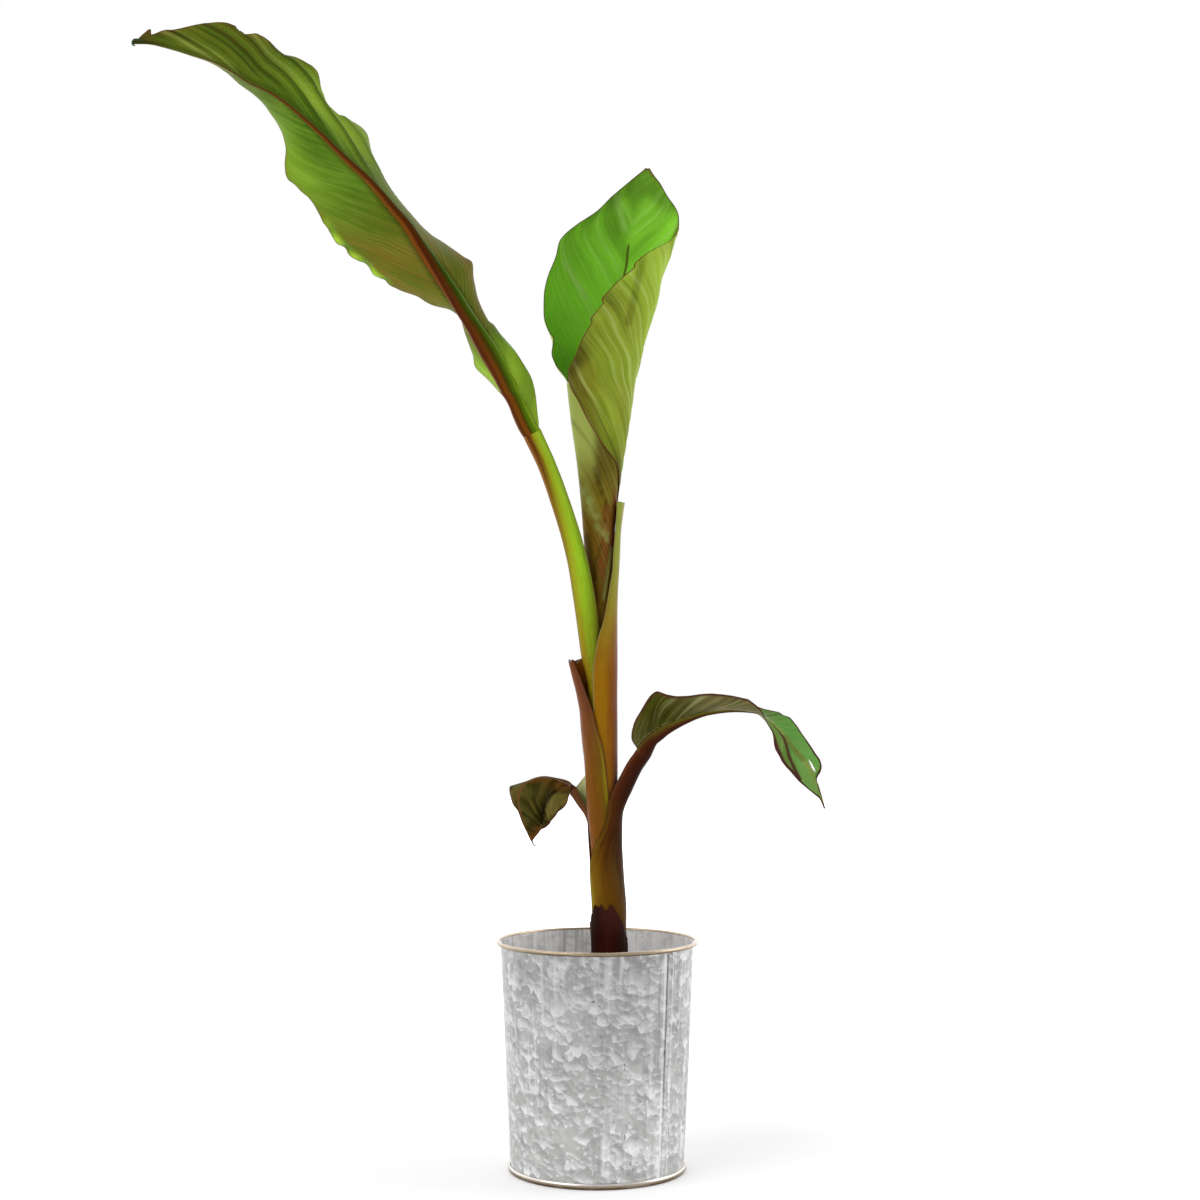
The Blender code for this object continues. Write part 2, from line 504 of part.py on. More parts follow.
def build_blade(name, stations, count, thickness, rib_thickness, belly, under, collection, colour,
                across=4):
    """A leaf blade as an open surface with Solidify, thick along the rib and thin at its edges.

    Under is the Solidify offset that puts the thickness on the blade's lower face.
    """
    flat = [np.concatenate(station) for station in stations]
    rows = spline(flat, count)
    ribs = spline([station[0] for station in stations], count)
    tangents = np.gradient(ribs, axis=0)
    points, weights = [], []
    for index, (row, tangent) in enumerate(zip(rows, tangents)):
        rib, first, second = row[:3], row[3:6], row[6:9]
        part = index / (count - 1)
        rib_now = rib_thickness[0] * (1.0 - part) ** 1.5 + rib_thickness[1]
        bows = []
        for edge, sign in ((first, 1.0), (second, -1.0)):
            normal = sign * np.cross(tangent, edge - rib)
            length = np.linalg.norm(normal)
            reach = np.linalg.norm(edge - rib)
            bows.append(normal / max(length, 0.001) * belly * reach)
        left = blade_section(rib, first, 0.5 * rib_now, bows[0], across)
        right = blade_section(rib, second, 0.5 * rib_now, bows[1], across)
        points.append(left[::-1] + [rib] + right)
        taper = min(1.0, 4.0 * (1.0 - part) + TIP_THICKNESS)
        lamina = [thickness * taper * (1.0 - EDGE_THINNING * step / (across - 1))
                  for step in range(across)]
        shoulder = [max(lamina[0], 0.8 * rib_now)] + lamina[1:]
        weights.append(shoulder[::-1] + [max(rib_now, lamina[0])] + shoulder)
    weights = np.array(weights)
    made = add_object(name, grid_mesh(np.array(points)), collection, colour)
    thickest = float(weights.max())
    group = made.vertex_groups.new(name="thickness")
    for index, weight in enumerate(weights.ravel()):
        group.add([index], float(weight) / thickest, "REPLACE")
    solid = made.modifiers.new("thickness", "SOLIDIFY")
    solid.thickness = thickest * MM
    solid.offset = under
    solid.vertex_group = "thickness"


def build_hood(collection):
    """The open upper half of the rolled leaf."""
    rows = spline([(row[1], row[2], row[0], *row[3:]) for row in HOOD], HOOD_ROWS)
    across = HOOD_COLUMNS
    points, weights = [], []
    for index, row in enumerate(rows):
        part = index / (len(rows) - 1)
        angles = np.radians(np.linspace(row[5], row[6], across))
        points.append(np.stack([row[0] + row[3] * np.cos(angles), row[1] + row[4] * np.sin(angles),
                                np.full(across, row[2])], axis=1))
        taper = min(1.0, 3.0 * (1.0 - part) + TIP_THICKNESS)
        edges = np.clip(4.0 * (1.0 - np.abs(np.linspace(-1.0, 1.0, across))) + 0.5, 0.0, 1.0)
        weights.append(taper * edges)
    made = add_object("rolled_leaf_hood", grid_mesh(np.array(points)), collection, "green_blade")
    group = made.vertex_groups.new(name="thickness")
    for index, weight in enumerate(np.array(weights).ravel()):
        group.add([index], float(weight), "REPLACE")
    solid = made.modifiers.new("thickness", "SOLIDIFY")
    solid.thickness = HOOD_THICKNESS * MM
    solid.offset = 1.0
    solid.vertex_group = "thickness"


def build_blades(collection):
    build_blade("big_leaf_blade", BIG_LEAF, 46, 6.2, (9.5, 4.0), 0.10, 1.0, collection,
                "olive_blade")
    build_blade("right_leaf_arched_blade", RIGHT_LEAF_ARCH, 17, 2.6, (8.0, 3.0), 0.08, 1.0,
                collection, "olive_blade")
    build_blade("right_leaf_drooping_blade", RIGHT_LEAF_DROOP, 15, 2.4, (1.6, 1.4), 0.05, 1.0,
                collection, "green_blade")
    build_blade("small_leaf_blade", SMALL_LEAF, 17, 2.0, (4.0, 1.6), 0.06, -1.0, collection,
                "olive_blade")
    build_tapered("rolled_leaf_cone", CONE, 16, 24, collection, "olive_blade")
    build_hood(collection)


def main():
    for old in list(bpy.data.objects):
        bpy.data.objects.remove(old)
    collection = bpy.data.collections.new(COLLECTION)
    bpy.context.scene.collection.children.link(collection)
    build_bucket(collection)
    build_seam(collection)
    build_soil(collection)
    build_stem(collection)
    build_blades(collection)


main()
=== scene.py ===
"""A young potted banana plant in a zinc bucket: its finished look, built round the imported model.

The Z axis is the bucket's axis and z = 0 is the floor. Tables of sizes are in millimetres.
Plain colours are linear RGB in thousandths.
Angles are in degrees in the XY plane: 0 points right, 90 back, 180 left and -90 to the front.
"""
import math

import bmesh
import bpy
import numpy as np
from bpy.props import FloatProperty, FloatVectorProperty, IntProperty, PointerProperty
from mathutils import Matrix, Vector, noise


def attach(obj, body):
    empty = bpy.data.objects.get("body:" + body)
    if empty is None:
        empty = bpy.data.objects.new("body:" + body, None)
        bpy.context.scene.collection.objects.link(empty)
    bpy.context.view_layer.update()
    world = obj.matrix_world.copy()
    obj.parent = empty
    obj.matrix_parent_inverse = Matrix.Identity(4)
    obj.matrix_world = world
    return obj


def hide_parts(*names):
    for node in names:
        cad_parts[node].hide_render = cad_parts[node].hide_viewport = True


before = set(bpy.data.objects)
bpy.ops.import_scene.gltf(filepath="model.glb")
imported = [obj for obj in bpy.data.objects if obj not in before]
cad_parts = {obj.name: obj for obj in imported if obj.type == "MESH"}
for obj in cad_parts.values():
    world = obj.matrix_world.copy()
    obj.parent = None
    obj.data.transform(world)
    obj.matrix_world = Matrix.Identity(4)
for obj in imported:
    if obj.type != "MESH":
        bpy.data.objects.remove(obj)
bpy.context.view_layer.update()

bl_info = {
    "name": "Potted Banana Plant",
    "version": (1, 0, 0),
    "blender": (4, 5, 0),
    "location": "View3D > Sidebar > Banana Plant",
    "description": "Builds a young banana plant in a zinc bucket",
    "category": "Add Mesh",
}

MM = 0.001
BODY = "root"
MERGE = 0.00002          # points nearer than this, in metres, are one
TURN = 2 * math.pi

# ---------- sizes of the bucket and soil
POT_HEIGHT = 248.6
POT_TOP_RADIUS = 106.3
POT_FOOT_RADIUS = 94.5
SHEET = 1.2
BEAD_RADIUS = 2.3
BEAD_RING_RADIUS = 109
SEAM_ANGLE = -43
HALF_ROUND = 0.31415     # half a turn in the wall's map
SOIL_TOP = 205
SOIL_FOOT = 4
GAP = 0.4
WRAP_GAP = 0.9
LEAD_IN = 14
STEM_FOOT = SOIL_TOP + GAP

# ---------- stem and stalks
# Level circles: height, centre x, centre y, radius.
CORE = [(STEM_FOOT, 14.5, 0, 12.2), (286, 11.8, 0, 12), (335, 8.6, 0, 11.6), (401, 6, 0, 11),
    (467, 4.6, 0, 10.2), (511, 3.8, 0.6, 9.8), (556, 3.2, 2.6, 9.2)]
CONE = [(556 + GAP, 3.2, 2.6, 9.2), (600, 3.5, 6.5, 11.2), (640, 2.6, 8.5, 14),
    (688, 1.6, 9.5, 17.4), (732, 1.4, 10.5, 20.4), (776, 2, 11, 25.4), (820, 2.6, 11, 32),
    (866, 3.4, 11, 38)]

# Leaf bases: height, centre x, centre y, radius, keel angle, reach clockwise and anticlockwise
# of the keel, thickness at the keel and at the margins, and how far the section turns with the
# stalk (0 is level, 1 is square to it).
RIGHT_CUT_STALK = [
    (386, 7, 0, 14.4, 0, 128, 128, 2.6, 1, 0),
    (401, 6.9, 0, 15.3, 0, 128, 128, 2.8, 1, 0),
    (423, 6.5, 0, 16, 0, 128, 128, 3.2, 1, 0),
    (467, 5.5, 0, 17, 0, 127, 127, 3.8, 1, 0),
    (511, 5.5, 0, 17, 0, 126, 126, 4.2, 1, 0),
    (548, 5.5, 0, 17, 0, 125, 118, 4.4, 1, 0),
    (570, 5.5, 0, 17, 0, 112, 106, 4.4, 1, 0),
    (585, 5.6, 0.5, 16.9, 0, 100, 100, 4.4, 1, 0),
    (595, 6, 1, 16.5, 0, 90, 94, 4.4, 1, 0),
    (616, 7, 2.5, 15.7, 0, 77, 85, 4.2, 1.1, 0),
    (636, 8.5, 3.5, 14.8, 0, 68, 76, 4, 1.1, 0),
    (654, 11.5, 5, 13, 0, 65, 70, 3.8, 1.2, 0),
    (671, 13.4, 6, 12, 0, 68, 70, 3.6, 1.2, 0),
    (696, 16, 7, 10.5, 0, 67, 68, 3.4, 1.2, 0),
    (729, 21.3, 8, 9.3, 0, 86, 80, 3.2, 1.2, 0)]
LEFT_CUT_STALK = [
    (300, 10.8, 0, 13.8, 185, 125, 125, 1.8, 1, 0),
    (335, 8.7, 0, 15, 185, 125, 125, 2.4, 1, 0),
    (357, 7.5, 0, 15.3, 185, 122, 122, 2.6, 1, 0),
    (380, 6.2, 0, 16.4, 184, 120, 120, 2.8, 1, 0),
    (401, 5.4, 0, 17.3, 182, 118, 116, 3, 1, 0),
    (423, 5, 0, 18, 180, 112, 110, 3, 1, 0),
    (445, 4, 0, 18.5, 180, 110, 104, 3, 1.1, 0),
    (463, 2.6, 0, 19.2, 180, 106, 98, 3.2, 1.1, 0),
    (479, 0.8, 0, 18.8, 180, 103, 87, 3.4, 1.2, 0),
    (499, -2.8, 0, 16.8, 180, 118, 82, 3.6, 1.2, 0),
    (519, -9.5, 0.5, 14, 180, 132, 78, 3.6, 1.2, 0),
    (537, -16, 1, 12, 180, 142, 75, 3.6, 1.2, 0),
    (554, -21.3, 1.5, 10.4, 180, 145, 62, 3.6, 1.2, 0)]
BIG_LEAF_STALK = [
    (470, 4.6, 0, 12.8, 205, 118, 118, 2, 1, 0),
    (511, 3.4, 0, 12.9, 205, 118, 118, 2.4, 1, 0),
    (540, 0.4, 0, 13.3, 207, 112, 115, 3.2, 1, 0),
    (555, -3, 0, 13.9, 208, 108, 112, 3.8, 1.1, 0),
    (575, -5.8, -0.5, 14.1, 211, 104, 106, 5, 1.2, 0),
    (600, -9, -1.5, 14.3, 216, 100, 100, 6.5, 1.4, 0),
    (621, -12.2, -4.5, 14, 222, 96, 96, 8, 1.6, 0.3),
    (665, -20.9, -11, 12.3, 235, 92, 92, 10, 2, 0.8),
    (727, -39.7, -22, 10.8, 250, 90, 90, 11.5, 2.4, 1),
    (770, -55.8, -31, 10.2, 258, 88, 88, 12.5, 2.6, 1),
    (802, -70.9, -37, 10.5, 262, 88, 88, 13, 2.8, 1)]
SMALL_LEAF_STALK = [
    (STEM_FOOT, 14.5, 0, 16.2, 160, 110, 110, 2.6, 1, 0),
    (250, 13.3, 0, 16.4, 160, 100, 105, 2.6, 1, 0),
    (286, 11.9, 0, 17, 160, 88, 92, 2.8, 1, 0),
    (315, 9.8, 0.3, 17.2, 160, 82, 58, 3, 1, 0),
    (335, 8.6, 1, 17, 158, 84, 38, 3.2, 1, 0),
    (352, 6.2, 4, 14.4, 155, 88, 40, 4, 1.2, 0),
    (368, 2, 9.5, 11.2, 152, 88, 55, 4.6, 1.4, 0),
    (386, -7.4, 15.5, 7.6, 150, 112, 100, 5, 1.5, 0.4),
    (400, -17.5, 19.5, 7, 165, 122, 110, 6, 1.5, 1),
    (411, -25.5, 22.3, 6.6, 178, 124, 112, 6, 1.5, 1)]
RIGHT_LEAF_STALK = [
    (STEM_FOOT, 14.5, 0, 18.4, -15, 145, 145, 2.4, 1, 0),
    (250, 13.4, 0, 18.6, -15, 145, 145, 2.6, 1, 0),
    (286, 12.5, 0, 19.8, -15, 145, 130, 2.8, 1, 0),
    (313, 10.9, 0, 19.1, -15, 145, 92, 3, 1, 0),
    (335, 10.2, 0, 18.2, -15, 140, 66, 3.2, 1.1, 0),
    (350, 10.1, 0, 17.6, -16, 122, 60, 3.6, 1.2, 0),
    (370, 10.6, -0.6, 17.2, -17, 88, 60, 4.2, 1.2, 0),
    (387, 12.6, -2.5, 16.2, -20, 74, 64, 5, 1.3, 0),
    (405, 21.8, -6, 13, -20, 110, 98, 8.5, 1.6, 0.3),
    (424, 31.6, -7, 11.3, -12, 122, 116, 10.5, 1.8, 0.9),
    (440, 39.9, -8, 11, -5, 128, 126, 11.5, 2, 1),
    (451.5, 48, -8, 10.6, 0, 130, 130, 12, 2.2, 1)]
# Each stalk's table, and the depth, scale and seed of its unevenness.
STALKS = {"big_leaf_stalk": (BIG_LEAF_STALK, 0.25, 9, 3),
          "right_cut_stalk": (RIGHT_CUT_STALK, 0.3, 9, 5),
          "left_cut_stalk": (LEFT_CUT_STALK, 0.3, 9, 7),
          "small_leaf_stalk": (SMALL_LEAF_STALK, 0.2, 8, 9),
          "right_leaf_stalk": (RIGHT_LEAF_STALK, 0.3, 9, 11)}
# The ragged tops of the cut stalks: a profile round the outer face and the depth it fades over.
RAGGED_TOPS = {
    "right_cut_stalk": ([(-1, 2), (-0.6, 0.6), (-0.2, 1.2), (0.3, -0.6), (0.6, 0.5), (1, -1)], 12),
    "left_cut_stalk": ([
        (-1, 5), (-0.7, 3), (-0.35, -3), (0, 1.5), (0.25, 2), (0.6, -4), (0.8, -1), (1, 0)], 14)}
# The torn old leaf base: angle and height of its ragged top edge.
OLD_BASE_TOP = [(100, 226), (140, 238), (172, 262), (196, 268), (212, 279), (226, 288), (238, 284),
    (248, 289), (256, 283), (266, 282), (276, 289), (290, 284), (306, 273), (330, 258), (358, 243),
    (400, 226), (440, 214)]
OLD_BASE_CLEAR = 0.6
OLD_BASE_THICKNESS = 1.5

# ---------- leaf blades
# Rib, first edge and second edge of each blade from its foot to its tip (x, y, z).
BIG_LEAF = [
    (-73, -31.5, 806, -81, -31, 801, -63, -31, 797),
    (-77, -33, 812, -86, -28, 816, -61, -28, 809),
    (-84, -36, 825, -93, -28, 833, -64.5, -25, 827),
    (-92, -40, 841, -98, -32, 841, -71, -24, 860),
    (-100, -44, 857, -122, -22, 868, -82, -22, 881),
    (-112, -50, 879, -135, -26, 887, -98, -24, 906),
    (-124, -56, 899, -144, -32, 910, -112, -26, 920),
    (-135, -61, 917, -150, -39, 932, -124, -27, 938),
    (-145, -66, 932, -161, -37, 939, -132, -30, 957),
    (-153, -70, 945, -175, -35, 943, -136, -32, 976),
    (-164, -75, 962, -194, -38, 952, -138, -33, 990),
    (-177, -81, 981, -219, -46, 959, -169, -23, 1011.5),
    (-190, -86, 1000, -244, -56, 974, -190.5, -20, 1026.5),
    (-202, -91, 1018, -265, -65, 992, -208.5, -21, 1042.5),
    (-217, -96, 1035, -285, -72, 1011, -222.5, -24, 1058),
    (-230, -101, 1050, -300, -77, 1036, -233, -31, 1074.5),
    (-245, -106, 1066, -316, -79, 1058, -242, -40, 1096),
    (-260, -111, 1079, -331, -81, 1072, -252, -51, 1116),
    (-275, -116, 1093, -336, -82, 1086, -264, -62, 1133),
    (-290, -120, 1108, -336, -84, 1106, -279, -74, 1147),
    (-308, -124, 1124, -345, -86, 1131, -291, -88, 1162),
    (-325, -129, 1138, -359, -89, 1150, -303, -103, 1179),
    (-343, -133, 1150, -373, -92, 1165, -323, -115, 1193),
    (-364, -137, 1159, -386, -95, 1177, -345, -127, 1205),
    (-382, -141, 1170, -396, -100, 1187, -364, -137, 1213),
    (-398, -144, 1178, -408, -107, 1195, -386, -144, 1221),
    (-425, -148, 1186, -430, -121, 1198, -414, -150, 1217),
    (-449, -151, 1192, -452, -135, 1199, -439, -152, 1209),
    (-467, -152, 1195, -467, -145, 1199, -460, -152, 1204),
    (-484.8, -152, 1195, -484.6, -150, 1197, -484, -152, 1198)]
RIGHT_LEAF = [
    (47.5, -8, 455.2, 44.5, -15, 457.2, 44.5, -1, 457.2),
    (53, -8, 462.5, 37, -21, 470, 44, 8, 469),
    (59, -8, 469, 38, -27, 487, 48, 14, 482),
    (66, -8, 474, 48, -33, 504, 55, 20, 495),
    (73, -8, 479, 62, -37, 521, 67, 24, 507),
    (84, -8, 485, 77, -42, 517, 81, 28, 508),
    (98, -8, 491, 94, -48, 519, 99, 32, 511),
    (113, -8, 496, 114, -52, 519, 120, 34, 512),
    (131, -8, 499, 134, -54, 518, 139, 34, 512),
    (148, -8, 500, 152, -54, 516, 157, 32, 510),
    (164, -8, 499, 164, -48, 511, 170, 28, 506),
    (177, -8, 496.5, 176, -38, 501, 181, 24, 501),
    (190, -8, 488, 186, -32, 486, 199, 14, 498),
    (199, -8, 479, 194, -26, 475, 209, 6, 495),
    (209, -8, 468, 199, -20, 459, 220, -2, 485),
    (217, -8, 457, 204, -16, 442, 229, -8, 469),
    (225, -8, 447, 212, -14, 432, 238, -12, 453),
    (233, -8, 436, 222, -13, 421, 245, -14, 440),
    (238, -8, 427, 231, -12, 413, 240.5, -13, 427.5),
    (242, -8, 415, 239, -10, 407, 243, -10, 416),
    (245.5, -8, 404, 244, -8, 403, 247, -8, 404),
    (249.6, -8, 392, 249, -8, 391.5, 250, -8, 392.4)]
SMALL_LEAF = [
    (-29, 23.5, 417, -29, 18, 415, -28, 29, 416),
    (-38, 25, 421.5, -33, 8, 398, -31, 46, 417),
    (-48, 26, 424.5, -38, 3, 391, -44, 50, 415),
    (-60, 26, 426, -43, 0, 387, -60, 50, 416),
    (-72, 25, 423, -48, -1, 381, -78, 47, 414),
    (-81, 23, 417, -52, -1, 376, -92, 41, 415),
    (-86, 21, 409, -57, 1, 371, -98, 33, 413),
    (-87, 18, 398, -62, 4, 368, -95, 26, 397),
    (-84, 15, 384, -65, 7, 364, -88, 19, 388),
    (-79, 12, 369, -69, 8, 359, -82, 15, 374),
    (-72.5, 10, 355, -72, 9.5, 354.5, -73.5, 10.5, 355.5)]

# The rolled leaf's outer turn, in level arcs: height, centre x, centre y, half width, half depth,
# the angles of its hidden or free left edge and of the edge that wraps over the front, and how
# far the left edge is tucked inside the turn below it.
ROLLED_LEAF = [
    (640, 2.6, 8.5, 14.8, 14.8, 190, 40, 0.80), (688, 1.6, 9.5, 18.2, 18.2, 190, 25, 0.82),
    (732, 1.4, 10.5, 21.2, 21.2, 190, 2, 0.84), (752, 1.6, 10.8, 23.6, 23.6, 190, -16, 0.85),
    (770, 1.9, 11, 25.7, 25.7, 190, -39, 0.86), (789, 2.2, 11, 28.4, 28.4, 190, -78, 0.87),
    (815, 2.6, 11, 32.2, 32.2, 190, -110, 0.88), (840, 3, 11, 35.6, 35.6, 190, -132, 0.90),
    (866, 3.4, 11, 38.8, 38.8, 190, -156, 0.95), (884, 0.5, 11, 46.5, 42, 188, -124, 1),
    (911, 1.5, 11, 51.5, 44, 186, -108, 1), (936, 1, 11, 60, 46, 186, -92, 1),
    (954, 3.5, 11, 63, 46, 186, -84, 1), (982, 8, 12, 64, 44, 184, -66, 1),
    (1008, 17.8, 14, 64, 40, 182, -48, 1), (1028, 24, 16, 63.5, 35, 180, -12, 1),
    (1044, 35, 18, 58.5, 29, 180, 6, 1), (1062, 47, 20, 44, 21, 180, 12, 1),
    (1079, 48.5, 22, 30, 14, 180, 14, 1), (1094, 52.5, 23, 16.5, 8, 178, 16, 1),
    (1104, 55, 24, 6.5, 4, 176, 20, 1), (1110, 57, 24.5, 0.8, 0.8, 176, 20, 1)]

# Where its rib runs: height and angle.
ROLLED_RIB_ANGLE = ((866, 76), (911, 73), (982, 71.6), (1028, 79.5), (1045, 87), (1062, 97),
    (1079, 104), (1094, 106))
# How far the wrap's edge reaches past its line: height and degrees.
WRAP_HOOKS = ((868, 0), (900, 1.2), (924, -1.6), (929, 2), (945, -1.8), (950, 2.4), (972, 0.4),
    (986, -2), (991, 1.6), (1012, 0))
# The free edge of the inner turn: height and angle.
LAP_EDGE = ((556, -110), (625, -70), (650, -50), (683, -28), (700, -18), (727, -18), (745, -43),
    (780, -70), (866, -80))

# Waves of a blade's margins: side (0 first, 1 second), place along the rib, half length and how
# far off the face.
BIG_LEAF_WAVES = [(0, 70, 18, 2), (1, 90, 22, -2), (0, 170, 30, 3), (1, 200, 30, 3),
    (0, 236, 13, -5), (0, 262, 13, -5), (1, 290, 34, -3), (0, 318, 22, 3.5), (1, 350, 20, 5),
    (1, 392, 20, -5), (0, 400, 24, -2), (1, 430, 16, 5), (1, 465, 18, -4), (1, 505, 18, 3)]
RIGHT_LEAF_WAVES = [(0, 60, 20, 2), (0, 110, 20, -1.5), (1, 80, 24, 2), (1, 140, 20, -1.5),
    (0, 180, 14, 1.5)]
SMALL_LEAF_WAVES = [(0, 30, 14, 2), (0, 62, 12, -2), (1, 45, 16, 2)]

# How far each margin stands out from its edge line, at even steps from the foot to the tip.
BIG_LEAF_FIRST_TRIM = (0, 0, 0, 1.5, 3, 5, 5.5, 5.5, 5, 3.5, 2, 0, 0, 0, 0, 0.7, 0.7, 0.2, 1.9,
    1.9, -1.8, -0.9, -0.1, -1, -0.3, -0.1, -0.7, 0.1, -0.4, -0.5, -0.5, -1.4, 3.9, 2.9, -0.8, 1.7,
    0.6, -0.2, -2, -2.3, 0.6, 0.2, 2.2, 1, -0.3, -1, -1.5, -1.7, -0.8, -0.7, -0.2, -0.6, -1.5,
    -3.2, -3.7, -4.3, -4.7, -0, 4.8, 9, 9, 9, 0, 0, 0, 0, 0, 0, 0, 0, 0, 0, 0, 0, 0, 0)
BIG_LEAF_SECOND_TRIM = (-8, -5, -2.5, -1, 0, 0, 0, 0, 0, 0, 0, 0, 0, 0, 0, -5.1, -2.5, -1.3, -1.3,
    -0.7, -1.3, -0.6, -2.4, -2.4, -3.8, -2.2, 0.7, 2.9, 5.6, 9.6, 10.6, 10.6, 4.4, 14.1, 15.1,
    15.1, 12.4, 5.8, -1.6, -2.7, -2, -0, 2.6, 6.6, 7, 7, 3.4, -1.3, -5.8, -6.5, -6.8, -3.9, -1.4,
    2.4, 3.5, 3.6, 1.8, -1.7, -0.8, 1, 1.6, 0.8, -6.4, -2.6, -1.7, -1.9, -1.6, -0.5, -0.4, 0.1, 1,
    1.9, 4.9, 4.9, 0, 0)
RIGHT_LEAF_FIRST_TRIM = (0, 0, -3, -3.3, -1, -2.7, 1, -1.5, -3.4, -3.5, -2.9, -1.7, -2.7, -5.3,
    -6.7, -5.2, 0.6, 0.9, 2.8, 0, 7, 7, 7, 6.2, 2.6, 0, -0.5, -0.6, -0.5, -0.8, -0.7, -0.3, 0.2, 0,
    0)
RIGHT_LEAF_SECOND_TRIM = (0, 0, 0, 0, 0, 0, 0, 0, 0, 0, 0, 0, 0, 0, 0, 0, 0, 0, 0, 0, 0, -3, -0.8,
    -1.8, -1.3, -0, 0.8, 1, 0.2, 3.2, 0, 0, 0, 0, 0)

# ---------- colours and finishes
LIME = (250, 420, 16)
ROSY_BROWN = (210, 85, 50)
OLIVE_BROWN = (125, 62, 6)
MAROON = (45, 10, 5)
DARK_RED = (85, 20, 10)
NEAR_BLACK = (14, 6, 4)
WHITE = (1, 1, 1, 1)
WAX_SPECULAR = 0.05
WAX_IOR = 1.3

# Each stalk's heights where its colours change, in metres, its inner face and its margins, and
# colour stops round it: low, high and, between them, middle.
STALK_LOOKS = {
    "big_leaf_stalk": (0.53, 0.8, (220, 320, 50), (160, 90, 20),
        [(0, 120, 35, 4), (0.25, 170, 70, 4), (0.5, 200, 130, 4), (0.75, 140, 160, 6),
         (1, *OLIVE_BROWN)],
        [(0, 130, 60, 10), (0.22, 200, 75, 10), (0.36, 75, 18, 2), (0.47, 130, 55, 4),
         (0.58, 230, 260, 10), (0.75, 250, 370, 18), (1, 120, 200, 8)],
        [(0, 120, 40, 5), (0.2, 200, 90, 6), (0.36, 170, 130, 6), (0.52, 250, 280, 11),
         (0.72, *LIME), (1, 100, 160, 6)]),
    "right_cut_stalk": (0.53, 0.7, (240, 200, 70), (200, 150, 50),
        [(0, 200, 90, 3), (0.16, 240, 108, 3), (0.3, 210, 70, 8), (0.42, 200, 80, 62),
         (0.6, 120, 45, 30), (1, 100, 35, 15)],
        [(0, 200, 230, 30), (0.2, 220, 260, 45), (0.36, 280, 270, 90), (0.5, 240, 150, 90),
         (0.65, 160, 70, 40), (1, *ROSY_BROWN)]),
    "left_cut_stalk": (0.42, 0.52, (170, 50, 2), (90, 30, 12),
        [(0, *OLIVE_BROWN), (0.4, 120, 45, 8), (0.62, 170, 62, 10), (0.78, 140, 52, 4),
         (0.92, 130, 70, 4), (1, 200, 160, 6)],
        [(0, 110, 35, 18), (0.45, 220, 105, 70), (0.62, 190, 80, 45), (0.8, 130, 42, 16),
         (1, 100, 30, 12)]),
    "small_leaf_stalk": (0.33, 0.4, (160, 180, 50), DARK_RED,
        [(0, *DARK_RED), (0.5, 160, 30, 12), (1, 140, 50, 12)],
        [(0, 120, 100, 30), (0.5, 130, 55, 20), (1, 110, 40, 15)]),
    # For the right leaf's stalk the stops run from a lighter left-hand side to a near black
    # right-hand one: a painted highlight and painted shade over its own colours.
    "right_leaf_stalk": (0.31, 0.43, (70, 35, 12), (40, 12, 6),
        [(0, 220, 180, 6), (0.07, 190, 110, 3), (0.16, 140, 65, 3), (0.3, 110, 46, 2),
         (0.44, 85, 40, 8), (0.55, 50, 22, 6), (1, 35, 15, 5)],
        [(0, 85, 24, 9), (0.12, 55, 13, 4), (0.25, 36, 8, 3), (0.42, 22, 6, 3), (1, *NEAR_BLACK)],
        [(0, 90, 42, 3), (0.16, 60, 18, 2), (0.34, 42, 12, 2), (0.5, 34, 10, 3), (0.7, 22, 7, 3),
         (1, *NEAR_BLACK)]),
    "old_leaf_base": (0.215, 0.28, None, NEAR_BLACK,
        [(0, *NEAR_BLACK), (0.35, 20, 4, 2), (0.48, 50, 6, 3), (0.6, 18, 4, 3), (1, 20, 12, 10)],
        [(0, *NEAR_BLACK), (0.40, 22, 6, 4), (0.52, 50, 12, 8), (0.66, 32, 16, 12),
         (1, *NEAR_BLACK)]),
    "big_leaf_rib": (0.8, 1.16, (240, 320, 60), (50, 15, 6),
        [(0, 130, 55, 5), (0.14, 130, 45, 4), (0.3, 55, 12, 1), (0.46, 130, 38, 2),
         (0.56, 45, 40, 2), (0.68, 60, 120, 3), (0.85, 160, 270, 8), (1, 90, 130, 6)],
        [(0, 100, 90, 6), (0.3, 100, 30, 4), (0.55, 60, 22, 3), (0.8, 60, 90, 5),
         (1, 90, 120, 20)],
        [(0, 100, 40, 4), (0.16, 130, 34, 2), (0.34, 45, 8, 1), (0.5, 60, 16, 1),
         (0.62, 22, 34, 1), (0.8, 45, 90, 2), (1, 50, 100, 3)]),
    "right_leaf_rib": (0.455, 0.5, (200, 220, 50), MAROON,
        [(0, 100, 80, 10), (0.06, 85, 32, 6), (0.12, 60, 14, 4), (0.3, 36, 8, 3),
         (0.5, 22, 6, 3), (1, *NEAR_BLACK)],
        [(0, 130, 150, 20), (0.10, 100, 70, 8), (0.22, 50, 13, 3), (0.5, 18, 5, 3),
         (1, *NEAR_BLACK)]),
    "small_leaf_rib": (0.4, 0.43, (120, 50, 20), DARK_RED,
        [(0, 110, 45, 18), (0.5, 100, 35, 15), (1, *MAROON)],
        [(0, 110, 45, 18), (0.5, 100, 35, 15), (1, *MAROON)])}

# ---------- stage
FLOOR_RADIUS = 7
FLOOR_DROP = -0.0004
CAMERA_PLACE = (0.0031, -2.21, 0.533)
CAMERA_TILT = 0.040
SENSOR_WIDTH = 36
# Name, place, height of its aim on the axis, size and share of the key light's power.
LIGHTS = (("key", (-2.1, -1.6, 2.2), 0.6, 2.6, 1), ("side", (2.4, 0.3, 1.5), 0.5, 1.4, 0.4))


# ---------- general modelling
def deselect_all():
    bpy.ops.object.select_all(action="DESELECT")


